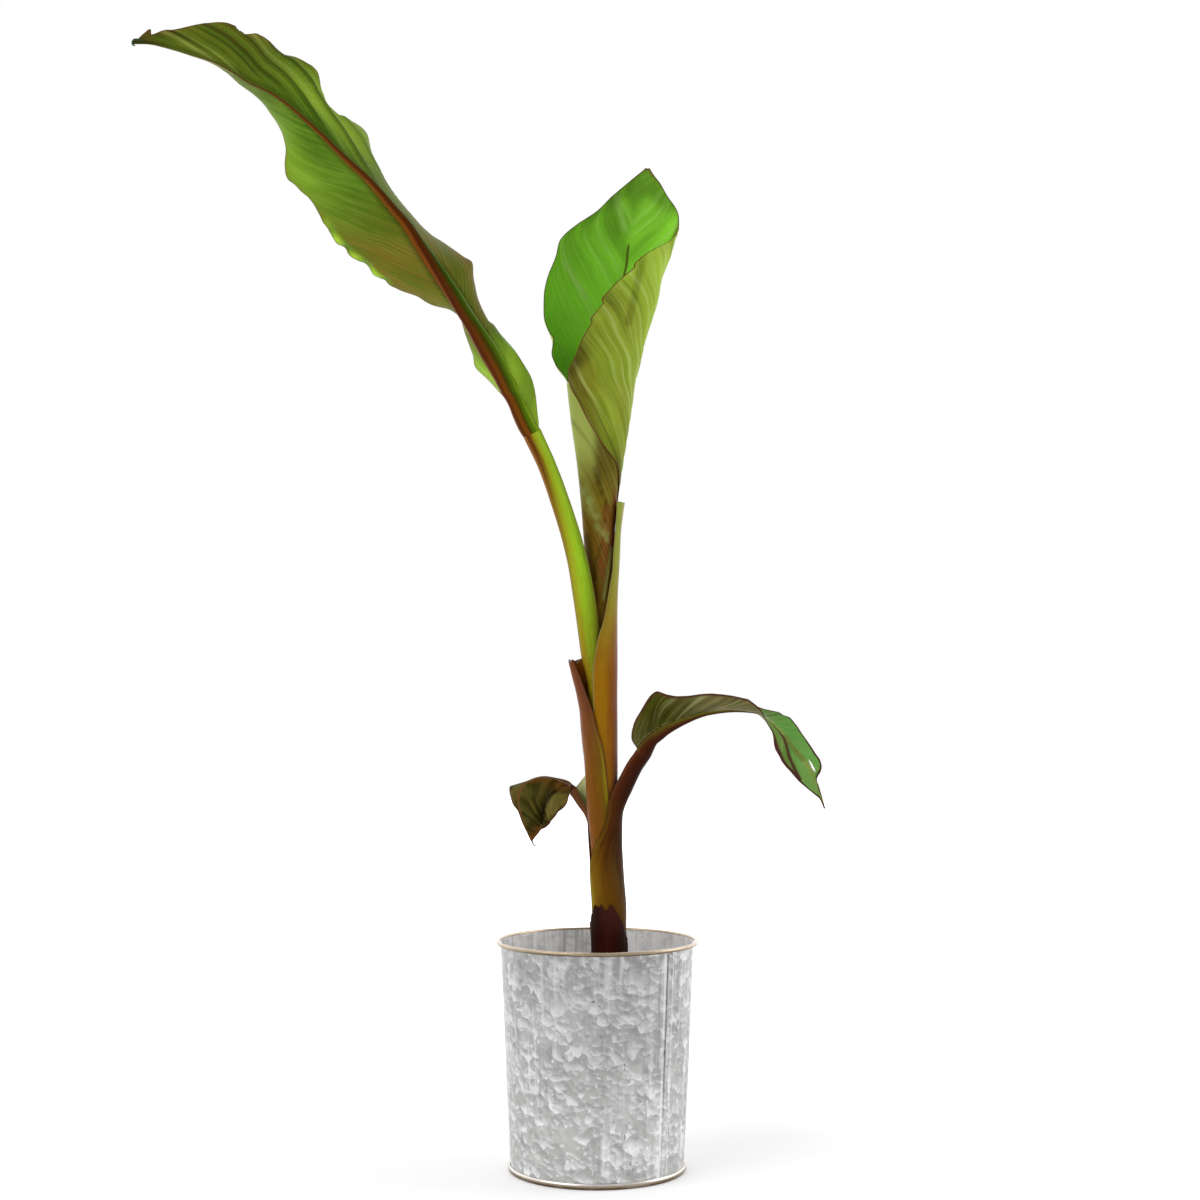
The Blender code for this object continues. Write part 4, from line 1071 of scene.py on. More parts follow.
def blade_piece(name, points, facts, flush, dry, bright, thickness, materials, cut_hole=None,
        dark=0, pale=0):
    """A blade as a thin solid: its upper, under and rim materials in that order."""
    piece = sheet(name, points, {
        "flow": facts["flow"], "marks": together(facts["margin"], flush),
        "spots": together(dry, bright),
        "tints": np.clip(together(dark, pale, flush)[..., :2], 0, 1)})
    if cut_hole:
        cut_hole(piece)
    for material in materials:
        piece.data.materials.append(material)
    apply_modifier(piece, "SOLIDIFY", thickness=thickness * MM, offset=0, material_offset=1,
        material_offset_rim=2)
    return piece


def rib_tube(leaf, facts, depth, across, blend=45):
    """The midrib under a blade, from the stalk's last ring to a fine half-round at its tip."""
    along, rib, half, tangent = [facts[key] for key in ("along", "rib", "half", "tangent")]
    sideways = unit(np.cross(tangent, facts["under"]))
    under = np.cross(sideways, tangent)
    raised = np.einsum("rx,rx->r", facts["feet"] - rib, -under)[:, None]
    dip = np.einsum("rx,rx->r", facts["dip"], under)[:, None]
    wide = np.minimum(facts["width"] + 0.3, half)[:, None]
    angles = np.linspace(0, math.pi, across)
    steps = np.linspace(0.96, -0.96, across)
    rounding = np.sin(angles)[None, :]
    aside = np.concatenate([-np.cos(angles)[None, :] * (wide + (half[:, None] - wide) * rounding),
        wide * steps], 1)
    deep = depth(along / along[-1])[:, None]
    down = np.concatenate([rounding ** 0.8 * (deep + raised) - raised, 0.45 - raised
        + dip * (1 - steps ** 2)], 1)
    offset = stalk_surface(leaf + "_stalk", 60, across)[-1] - rib[0]
    weight = ease(0, blend, along)[:, None]
    aside = (1 - weight) * (offset @ sideways[0]) + weight * aside
    down = (1 - weight) * (offset @ under[0]) + weight * down
    ahead = (1 - weight) * (offset @ tangent[0])
    rings = (rib[:, None] + aside[..., None] * sideways[:, None] + down[..., None] * under[:, None]
        + ahead[..., None] * tangent[:, None])
    return tube(leaf + "_rib", closed_round(rings), {"flow": round_flow(along, across)},
        stalk_material(leaf + "_rib"))


def noise_map(facts, scale_along, scale_out, seed):
    """Uneven values that run along a blade's veins, from -1 to 1."""
    along, out = np.moveaxis(facts["flow"] * 1000, -1, 0)
    return grain_over(together(along / scale_along, out / scale_out, facts["side"] * 3), 1, seed)


def build_big_leaf(settings):
    """The big leaf on the left: its arched blade, midrib and withered tip."""
    across = settings.columns
    half = by_part((0, 10.5), (0.05, 11), (0.1, 11.5), (0.16, 13.2), (0.22, 11.5), (0.30, 8.6),
        (0.44, 5.4), (0.6, 3.3), (0.8, 1.5), (1, 0.4))
    depth = by_part((0, 9), (0.15, 7.6), (0.4, 5), (0.7, 2.6), (0.92, 1.2), (1, 0.5))

    def lean(part, side):
        return np.where(side < 0, 1.1 + 1.2 * part, np.interp(part, (0, 0.3, 0.5, 0.72, 1),
            (0.85, 1.2, 2, 3.4, 4)))

    points, facts = blade_grid(BIG_LEAF, 320, 34, half, lambda part: 0.22 * depth(part), 0.10,
        lean, bend=0.0015, pleat=0.22, ripple=0.5, waves=BIG_LEAF_WAVES,
        trims=(BIG_LEAF_FIRST_TRIM, BIG_LEAF_SECOND_TRIM),
        spikes=[(1, 598, 4.5, 14), (1, 590, 3.5, -2), (1, 606, 3, -1), (1, 188, 7, 2.5)],
        rib_share=0.55)
    part, side, margin, out = blade_places(facts)
    uneven_map = noise_map(facts, 26, 70, 1)
    first = side < 0
    lower = ease(0.12, 0.22, part) * ease(0.54, 0.38, part)
    flush = np.where(first, lower * (0.85 + 0.15 * ease(5, 50, out)),
        0.75 * ease(0.16, 0.22, part) * ease(0.62, 0.34, part))
    flush += 0.45 * ease(0.66, 0.85, part) + 0.45 * ease(9, 0, margin) * (part > 0.2)
    flush = np.clip(flush * (1 + 0.45 * uneven_map), 0, 1)
    bright = ease(0.2, 0.1, part) + np.where(first,
        0.45 * ease(0.42, 0.55, part) * ease(0.80, 0.62, part) * ease(14, 60, out),
        ease(0.50, 0.60, part) * ease(0.80, 0.66, part) * ease(8, 30, out))
    along = part * facts["along"][-1]
    # On the lobes of the first margin, bright follows each bulge: a painted highlight on the
    # bulges, where the flush is taken away.
    bulge = np.cos((along - 232) * (TURN / 21))
    lobes = first * ease(212, 222, along) * ease(296, 286, along) * ease(12, 4, margin)
    bright = np.clip(bright * (0.8 + 0.5 * uneven_map) + lobes * (0.55 + 0.45 * bulge), 0, 1)
    flush *= 1 - lobes
    dry = 0.7 * ease(2.5, 0, margin) * (noise_map(facts, 8, 30, 5) > 0.3)
    folds = noise_map(facts, 14, 110, 12)
    upper_half = (side > 0) * ease(0.45, 0.6, part)
    relief = 3.2 * upper_half * folds * ease(3, 14, out) * ease(0, 7, margin)
    relief += 2.6 * lobes * bulge
    points = points + face_normals(points) * relief[..., None]
    # dark is painted shade in the fold troughs of the upper half and beside the rib; it also
    # darkens the tip of the upper half and patches low on the first half. pale lays the vein
    # colour on the fold crests as a painted highlight, and round the tear.
    dark = (upper_half * (ease(0, 0.5, folds) * ease(3, 14, out) * 0.75
        + 0.65 * ease(0.9, 1, part)) + 0.5 * ease(6, 0, out - facts["half"][:, None]) * (side != 0)
        * ease(0.06, 0.2, part) + 0.30 * first * ease(0.2, 0.6, uneven_map) * ease(0.6, 0.2, part))
    pale = (upper_half * ease(-0.10, -0.55, folds) * 0.5 + 0.7 * (side > 0)
        * stroke(points, [(-377, 1219), (-369.6, 1209.5)], 3.2))
    under = leaf_material("big_leaf_under", (85, 165, 10), (40, 95, 3), (240, 300, 65),
        flush=(125, 95, 10), flush_amount=0.9, bright=(250, 400, 28), vein_amount=0.5,
        edge_width=0.0008, edge=(90, 45, 12), spacing=0.008)
    upper = leaf_material("big_leaf_upper", (110, 260, 20), (50, 150, 8), (200, 340, 50),
        flush=(80, 50, 10), flush_amount=0.4, bright=(200, 380, 50), rib_colour=(260, 340, 60),
        rib_width=0.004, roughness=0.34, edge_width=0.0008, edge=(90, 45, 12))
    rim = leaf_material("leaf_rim", (100, 70, 12), (60, 30, 8), (140, 100, 20))
    piece = blade_piece("big_leaf_fine", points, facts, flush, dry, bright, settings.thickness,
        [under, upper, rim], dark=dark, pale=pale,
        cut_hole=lambda made: tear(made, (-0.3775, 1.2195), (-0.3705, 1.2105), 0.0026))
    rib = rib_tube("big_leaf", facts, depth, across)
    withered = leaf_material("withered_tip", (50, 90, 50), (20, 40, 30), (120, 160, 120))
    curl = tendril("big_leaf_curl", [(-470, -151, 1197.5), (-477, -151.5, 1199),
        (-482.5, -152, 1199), (-483.8, -152.5, 1196.5), (-482.8, -152.8, 1193.6),
        (-480.6, -152.8, 1192.6)], (2.2, 1.7, 1.2, 1.1, 0.9, 0.4), withered)
    piece = join([piece, rib, curl], "big_leaf_fine")
    finish_piece(piece, ["big_leaf_blade"])


def build_right_leaf(settings):
    """The right leaf: its blade arches over and droops to a dry tip."""
    across = settings.columns
    half = by_part((0, 8.5), (0.15, 7), (0.3, 4.6), (0.45, 3), (0.62, 1.4), (0.9, 0.8), (1, 0.3))
    depth = by_part((0, 10), (0.1, 8.5), (0.2, 6.4), (0.32, 3.8), (0.5, 1.6), (0.62, 1),
        (0.9, 0.7), (1, 0.4))
    points, facts = blade_grid(RIGHT_LEAF, 190, 26, half, lambda part: 0.2 * depth(part), 0.08,
        0.75, bend=0.003, pleat=0.35, spacing=9, ripple=0.4, seed=1.5, waves=RIGHT_LEAF_WAVES,
        trims=(RIGHT_LEAF_FIRST_TRIM, RIGHT_LEAF_SECOND_TRIM))
    part, side, margin, out = blade_places(facts)
    uneven_map = noise_map(facts, 22, 40, 2)
    reach = out / np.maximum(out + margin, 0.01)
    fold = ease(0.58, 0.90, part)
    strip = (side < 0) * (part > 0.55) * ease(0.90, 0.80, part) * ease(-0.03, 0.03, reach - fold)
    line = (side < 0) * np.exp(-((reach - fold) * 9) ** 2) * (part > 0.56) * (part < 0.83)
    flush = np.clip(ease(0.12, 0.40, part) * ease(0.66, 0.52, part) * (0.75 + 0.6 * uneven_map)
        + 0.5 * ease(0.12, 0, part) + 0.45 * strip, 0, 1)
    bright = np.clip(ease(0.5, 0.62, part) * (1 - 0.45 * strip), 0, 1)
    dry = np.clip(1.3 * line + 0.8 * ease(0.955, 0.985, part) + 0.9 * ease(5, 1, margin)
        * ease(0.02, 0.08, part) * ease(0.60, 0.50, part) * (side < 0) + 1.2 * ease(4.5, 2, margin)
        * strip * (part > 0.58), 0, 1)
    folds = noise_map(facts, 7, 60, 14)
    droop = ease(0.56, 0.62, part)
    # dark is painted shade in the fold troughs and along a crease on the drooping part. pale lays
    # the vein colour on the fold crests as a painted highlight, along a line beside the rib and on
    # patches of the drooping part.
    dark = (0.40 * (1 - droop) * ease(0.15, 0.6, folds + 0.3 * ease(0.05, 0.2, part)
        * ease(0.4, 0.2, part)) + 0.35 * droop * ease(0.25, 0.55, folds)
        + 0.35 * droop * stroke(points, [(207, 470), (217, 455), (226, 446)], 4.5))
    pale = ((1 - droop) * (0.8 * (side < 0) * ease(2.2, 0.4, out - facts["half"][:, None])
        * (out > facts["half"][:, None]) + 0.6 * ease(0.1, 0.5, -folds) * ease(0.05, 0.3, part))
        + droop * (0.5 * ease(0.1, 0.5, -folds) + 0.5 * (side < 0) * ease(0.7, 0.9, part)
        * (1 - strip)))
    green = droop * (side > 0) * ease(0.80, 0.66, part)
    pale = pale * (1 - 0.7 * green)
    under = leaf_material("right_leaf_under", (56, 56, 2), (26, 27, 1), (250, 260, 110),
        flush=(200, 165, 62), flush_amount=0.8, bright=(230, 420, 150), spacing=0.008,
        vein_amount=0.55, dry=(70, 22, 10), edge=(55, 18, 8))
    upper = leaf_material("right_leaf_upper", (120, 250, 30), (50, 130, 10), (200, 320, 80),
        flush=(100, 50, 20), flush_amount=0.5, bright=(120, 300, 60), rib_colour=(200, 280, 60),
        rib_width=0.0028, spacing=0.009, roughness=0.36, dry=(75, 28, 16))
    rim = leaf_material("right_leaf_rim", (70, 25, 10), (40, 12, 6), (120, 60, 30))
    piece = blade_piece("right_leaf_fine", points, facts, flush, dry, bright, settings.thickness,
        [under, upper, rim], dark=dark, pale=pale,
        cut_hole=lambda made: tear(made, (0.2325, 0.4450), (0.2395, 0.4320), 0.0011, -0.0085))
    rib = rib_tube("right_leaf", facts, depth, across, 22)
    piece = join([piece, rib], "right_leaf_fine")
    finish_piece(piece, ["right_leaf_arched_blade", "right_leaf_drooping_blade"])


def tear(piece, start, end, half_width, behind=1):
    """A short tear between two veins, from start to end in the XZ plane, in metres."""
    made = bmesh.new()
    made.from_mesh(piece.data)
    start, way = Vector(start), Vector(end) - Vector(start)
    gone = []
    for face in made.faces:
        middle = face.calc_center_median()
        flat = Vector((middle.x, middle.z)) - start
        place = min(max(flat.dot(way) / way.length_squared, 0), 1)
        reach = half_width * (1 - (2 * place - 1) ** 2) + 0.0002
        if middle.y < behind and (flat - place * way).length < reach:
            gone.append(face)
    bmesh.ops.delete(made, geom=gone, context="FACES")
    made.to_mesh(piece.data)
    made.free()


def build_small_leaf(settings):
    """The small leaf on the left: its creased blade, pale wing and withered hair."""
    across = settings.columns
    half = by_part((0, 5.5), (0.12, 4), (0.3, 2.2), (0.8, 1), (1, 0.3))
    depth = by_part((0, 4.6), (0.3, 2.6), (0.8, 1.1), (1, 0.3))
    points, facts = blade_grid(SMALL_LEAF, 120, 26, half, lambda part: -0.22 * depth(part), 0.06,
        0.8, bend=0.004, pleat=0.2, spacing=8, ripple=0.5, seed=0.7, waves=SMALL_LEAF_WAVES)
    facts["under"] = -facts["under"]
    part, side, margin, out = blade_places(facts)
    uneven_map = noise_map(facts, 18, 30, 4)
    crease = [(-46.4, 412.1), (-55.2, 403), (-60, 391), (-63, 376)]
    near = side < 0
    brown = [(-24, 417), (-36, 421.5), (-48, 424.5), (-60, 426), (-72, 424)]
    flush = np.clip(1.2 * stroke(points, brown[:3], 17) + 1.1 * stroke(points, brown, 9)
        + 0.5 * ease(5, 1, margin) + 0.25 * uneven_map + 0.8 * stroke(points,
        [(-66, 366), (-72, 357)], 12), 0, 1)
    bright = np.clip(near * stroke(points, [(-38, 400), (-46, 401), (-50, 390)], 11)
        + 0.25 * stroke(points, [(-88, 412), (-76, 408)], 9)
        + 0.30 * ease(0, 0.5, uneven_map), 0, 1)
    dry = np.clip(1.2 * ease(0.90, 1, part) + 0.9 * ease(3, 0, margin)
        * (ease(0.5, 0.75, part) + (noise_map(facts, 6, 20, 8) > 0.2)), 0, 1)
    folds = noise_map(facts, 7, 40, 15)
    # dark is painted shade in the crease and the fold troughs; pale lays the vein colour on the
    # fold crests as a painted highlight and along a line beside the crease.
    dark = (0.8 * stroke(points, crease, 2.2) + 0.35 * stroke(points, crease, 8)
        * (points[..., 0] < -52) + 0.28 * ease(0.15, 0.5, folds))
    pale = 0.22 * ease(0.15, 0.5, -folds) + 0.35 * near * stroke(points,
        [(-40, 406), (-50, 394), (-56, 380)], 3)
    points = points - face_normals(points) * (near * (3 * stroke(points, crease, 7)
        + 1.2 * ease(0, 6, out) * folds))[..., None]
    upper = leaf_material("small_leaf_upper", (36, 31, 1), (14, 13, 0.5), (130, 105, 20),
        flush=(88, 36, 5), flush_amount=0.95, bright=(135, 110, 24), spacing=0.008, roughness=0.34,
        dry=(145, 46, 6), rib_colour=(120, 50, 15), rib_width=0.0018)
    # The under face and the wing get a very pale green: painted light on faces that sit in shade.
    under = leaf_material("small_leaf_under", (520, 550, 270), (380, 420, 170), (600, 620, 360),
        flush=(140, 90, 30), flush_amount=0.4, spacing=0.008, dry=(190, 75, 10))
    rim = leaf_material("small_leaf_rim", (90, 35, 12), (50, 15, 8), (130, 60, 20))
    piece = blade_piece("small_leaf_fine", points, facts, flush, dry, bright, settings.thickness,
        [upper, under, rim], dark=dark, pale=pale)
    rib = rib_tube("small_leaf", facts, depth, across, 16)

    # The pale wing behind the stalk, from its far margin up to the stem.
    low_line = spline([(-14.5, 27, 391), (-19, 27, 401), (-25, 28, 412)], 24)
    high_line = spline([(-12, 26, 393), (-11.5, 29, 412), (-12, 31, 428)], 24)
    share = np.linspace(0, 1, 18)[None, :, None]
    wing_points = (1 - share) * low_line[:, None] + share * high_line[:, None]
    wing_points[..., 1] += 2 * np.sin(math.pi * share[..., 0])
    wing_flow = together(np.linspace(0, 26, 24)[:, None] * MM, share[..., 0] * 0.014)
    zero = np.zeros(wing_flow.shape[:2])
    wing = blade_piece("small_leaf_wing", wing_points, {"flow": wing_flow, "margin": zero + 0.02},
        zero, zero, zero + 0.6, settings.thickness, [under, under, rim])
    hair = tendril("small_leaf_hair", [(-72.3, 10, 356), (-71, 9.8, 352.5), (-69.2, 9.5, 350.2),
        (-67.6, 9.3, 351.2), (-67.3, 9.2, 353.2)], (0.9, 0.7, 0.6, 0.5, 0.3),
        bpy.data.materials["withered_tip"])
    piece = join([piece, rib, wing, hair], "small_leaf_fine")
    finish_piece(piece, ["small_leaf_blade"])


# ---------- rolled leaf
def rolled_points(rows, columns):
    """The rolled leaf as one curled sheet, with its maps."""
    table = spline([(row[1], row[2], row[0], *row[3:]) for row in ROLLED_LEAF], rows)
    x, y, height, wide, deep, first, last, tuck = table.T[..., None]
    share = np.linspace(0, 1, columns)
    share = share - 0.06 * np.sin(TURN * share)
    hooks = np.interp(height, *zip(*WRAP_HOOKS))
    level = first + (last - first) * share
    angles = level - hooks * share ** 14
    turned = np.radians(angles)
    tuck = np.clip(tuck, 0, 1)
    inside = tuck + (1 - tuck) * ease(0, 70, first - angles)
    size = wide * inside
    deep = deep * inside
    rib_angle = np.interp(height, *zip(*ROLLED_RIB_ANGLE))
    around = np.radians(np.abs(angles - rib_angle)) * 0.5 * (size + deep)
    edge_left = np.radians(first - angles) * size
    edge_wrap = np.radians(level - last) * size
    margin = np.minimum(np.minimum(np.where(height > 860, edge_left, 90), edge_wrap), height[-1]
        - height)
    left = angles > rib_angle
    lean = np.where(left, 2, 1.25)
    foot = height - lean * around + np.where(left, 0.0050, 0.0010) * around ** 2
    wave = np.sin(TURN * foot / 14) + 0.5 * np.sin(4 * math.pi * foot / 14 + 0.6)
    fade = (ease(0, 14, margin) * ease(2, 14, around) * ease(0.94, 1, inside))
    flare = 1.6 * ease(9, 0, edge_wrap) * np.sin(height / 17)
    lobe = 2.4 * np.exp(-((height - 896) / 9) ** 2) - 2.2 * np.exp(-((height - 914) / 4) ** 2)
    lobe += 0.7 * np.sin(height / 8 + np.sin(height / 21)) * ease(940, 980, height)
    lobe = lobe * ease(10, 0, edge_left) * left
    out = (np.where(left, 0.30, 0.55) * wave * fade + lobe * (height > 872)
        + flare * ease(870, 900, height))
    groove = 2.2 * ease(6.5, 0, around) * ease(1098, 980, height)
    points = together(x + (size + out + groove) * np.cos(turned),
        y + (deep + out + groove) * np.sin(turned), height)
    rib_out = around + 12 * ease(1024, 1062, height)
    return points, {"flow": together(foot, rib_out) * MM, "margin": margin * MM,
        "height": np.broadcast_to(height, angles.shape), "angle": angles, "side": np.ones(columns)}


def build_rolled_leaf(settings):
    """The youngest leaf's outer turn, open at the top."""
    points, facts = rolled_points(300, 150)
    height, angle = facts["height"], facts["angle"]
    uneven_map = noise_map(facts, 24, 60, 3)
    left = ease(70, 100, angle)
    margin = facts["margin"] * 1000
    foot = ease(20, 50, angle) * ease(850, 700, height)
    bright = np.clip(left * (1 - foot) * (ease(1060, 960, height)
        + 0.5 * ease(-0.1, 0.5, uneven_map)) + (1 - left) * (0.3 + ease(860, 960, height)
        * ease(1085, 1040, height)) * (0.6 + 0.7 * uneven_map), 0, 1)
    # corner browns the low front corner of the wrap through the flush: partly the leaf's own
    # flush, partly painted shade.
    corner = ease(-60, -125, angle) * ease(940, 860, height)
    flush = np.clip(0.9 * corner + ease(860, 740, height) * 0.6 + 0.6 * uneven_map
        + 0.5 * ease(10, -60, angle) * ease(1000, 940, height) * ease(870, 920, height), 0, 1)
    dry = (0.7 * ease(1.5, 0, margin) * (noise_map(facts, 9, 30, 9) > 0.1)
        + 0.75 * stroke(points, [(59, 1110), (79.4, 1087.8), (91, 1071), (95.5, 1051), (89, 1033)],
        5.5) * (0.6 + 0.8 * uneven_map) + 0.95 * ease(0.60, 1, foot + 0.25 * uneven_map))
    folds = noise_map(facts, 8, 150, 16)
    wrapped = ease(40, 0, angle)
    streak = stroke(points, [(51, 1002), (41, 955), (34, 925)], 6)
    # dark is painted shade in the wrap's fold troughs, in a band along the wrap's edge and at the
    # top; it also lays a dark streak on the wrap. pale lays the vein colour on the fold crests as
    # a painted highlight, along a line inside the left edge and in pale streaks.
    dark = (wrapped * (0.45 * ease(0.15, 0.55, folds) + 0.60 * ease(30, 3, margin)
        * ease(1000, 880, height) * (0.8 + uneven_map) + 0.35 * streak)
        + 0.45 * ease(1040, 1085, height) * ease(40, 20, margin))
    pale = (0.24 + 0.20 * wrapped) * ease(0.15, 0.5, -folds) + left * 0.5 * ease(4.5, 3,
        margin) * ease(1, 2, margin) * (height < 1000)
    pale += 0.45 * left * (stroke(points, [(-38.3, 1004.7), (-28.9, 991.5), (-12.4, 968.8)], 3.5)
        + 0.7 * stroke(points, [(18.2, 1086.7), (25.3, 1067.6), (31.5, 1045.4)], 5))
    # The inner face's greens, its bright green most of all, are painted light: the glow of light
    # through the thin leaf.
    inner = leaf_material("rolled_leaf_inner_face", (140, 330, 22), (105, 270, 13),
        (340, 550, 130), bright=(240, 620, 34), spacing=0.010, edge=(100, 50, 12),
        edge_width=0.0008, roughness=0.36, vein_amount=0.4, rib_colour=(100, 120, 15),
        rib_width=0.0012)
    outer = leaf_material("rolled_leaf_outer_face", (220, 280, 25), (125, 165, 8), (380, 450, 130),
        flush=(130, 95, 6), flush_amount=0.8, bright=(270, 420, 35), spacing=0.010,
        edge=(100, 30, 12), edge_width=0.0014, vein_amount=0.5, rib_colour=(300, 300, 60),
        rib_width=0.0035)
    rim = leaf_material("rolled_leaf_rim", (130, 40, 20), (80, 20, 10), (200, 100, 40))
    piece = blade_piece("rolled_leaf_fine", points, facts, flush, dry, bright, settings.thickness,
        [inner, outer, rim], dark=dark, pale=pale)
    finish_piece(piece, ["rolled_leaf_hood"])


def build_rolled_cone():
    """The youngest leaf's inner turn: a lapped cone that is hollow at the top."""
    circles = level_circles(CONE)[1:]
    steps = 97
    angles = np.linspace(-math.pi, math.pi, steps)
    rings = []

    def add_ring(z, radius_at):
        x, y, radius = circle_at(circles, min(z, CONE[-1][0] - 0.01))
        flat = radius_at(radius)
        rings.append(together(x + flat * np.cos(angles), y + flat * np.sin(angles), z))

    for z in np.linspace(CONE[0][0], 863, 150):
        spiral = 0.35 * np.sin(angles * 2 + z / 60)
        lap = (angles - math.radians(np.interp(z, *zip(*LAP_EDGE)))) % TURN
        step = 0.9 * ease(0, 0.10, lap) * ease(1.8, 0.12, lap)
        add_ring(z, lambda radius: radius - 0.5 + spiral + step)
    for z, inset in ((864, 0.7), (860, 1.6), (845, 2.5), (820, 6), (790, 9), (765, 12)):
        add_ring(z, lambda radius: max(radius - inset, 1))
    rings = np.array(rings)
    reach = 0.02 * (1 - np.cos(angles))
    flow = together(rings[..., 2] * MM - 2.4 * reach, reach)
    level, front = rings[..., 2], rings[..., 1] < 10
    rosy = stroke(rings, [(13, 722), (12, 690), (7, 650)], 9)
    patchy = 0.7 + 0.9 * grain_over(rings, 7, 8)
    band = front * patchy * (stroke(rings, [(-14, 745), (0, 712), (13, 688)], 6)
        + 0.6 * stroke(rings, [(-10, 722), (4, 692)], 3.5))
    red_margin = front * stroke(rings, [(18.5, 748), (22.5, 718), (21, 691), (17.5, 683)], 4.6)
    red_margin *= ease(752, 716, level)
    shaded = front * ease(-8, 4, rings[..., 0]) * ease(835, 790, level)
    side_light = front * stroke(rings, [(16, 683), (12, 655), (7, 622)], 2.6)
    streaks = ease(680, 740, level) * noise_map({"flow": flow, "side": np.ones(steps)}, 7, 120, 21)
    marks = together(0.02, np.clip(0.95 * rosy + 0.55 * ease(745, 690, level), 0, 1))
    spots = together(0.95 * red_margin, np.clip(ease(735, 800, level) * (1 - 0.85 * shaded), 0, 1))
    # dark is painted shade in the slits between the laps and low on the shaded front (shaded),
    # where bright is also taken off; it also lays dark streaks and a dark band on the left. pale
    # lays a pale band, pale streaks and a painted highlight down the right side (side_light).
    dark = (front * patchy * (0.8 * stroke(rings, [(9.4, 732), (8, 708)], 2.4)
        + 0.5 * stroke(rings, [(-2, 766), (6, 738)], 5) + 0.5 * stroke(rings,
        [(4, 682), (-1, 665), (-2, 645)], 3)) + 0.30 * shaded * ease(735, 770, level)
        + 0.4 * ease(0.1, 0.5, streaks) + 0.5 * stroke(rings, [(-12, 690), (-7, 655), (-2, 620)],
        7))
    tints = together(dark, 0.42 * band + 0.40 * side_light + 0.25 * ease(0.1, 0.5, -streaks))
    skin = leaf_material("rolled_leaf_cone_skin", (150, 115, 6), (95, 60, 3), (240, 300, 80),
        flush=(130, 38, 6), flush_amount=0.85, bright=(250, 290, 60), dry=(120, 14, 9))
    cone = tube("rolled_leaf_inner_turn", rings, {
        "flow": flow, "marks": marks, "spots": spots, "tints": np.clip(tints, 0, 1)}, skin)
    finish_piece(cone, ["rolled_leaf_cone"])


# ---------- bucket
def wall_radius(height):
    """Outer radius of the bucket's wall at a height."""
    return POT_FOOT_RADIUS + (POT_TOP_RADIUS - POT_FOOT_RADIUS) * height / POT_HEIGHT


def turned(name, profile, count, closed, dent=0):
    """A profile (radius, height) turned round the Z axis, with a map of arc length and height."""
    angles = np.radians(SEAM_ANGLE) + np.linspace(0, TURN, count + 1)
    profile = np.asarray(list(profile) + ([profile[0]] if closed else []), float)
    radius = np.broadcast_to(profile[:, :1], (len(profile), count + 1)).copy()
    height = np.broadcast_to(profile[:, 1:], radius.shape)
    if dent:
        shape = [[grain((90 * math.cos(a), 90 * math.sin(a), z), 38, 3) for a in angles]
            for z in profile[:, 1]]
        radius += dent * np.array(shape) * (radius > 60)
    points = together(radius * np.cos(angles), radius * np.sin(angles), height)
    flow = together((angles - angles[0]) * 0.1, height * MM)
    return sheet(name, points[:, ::-1], {"flow": flow[:, ::-1]}, closed=True)


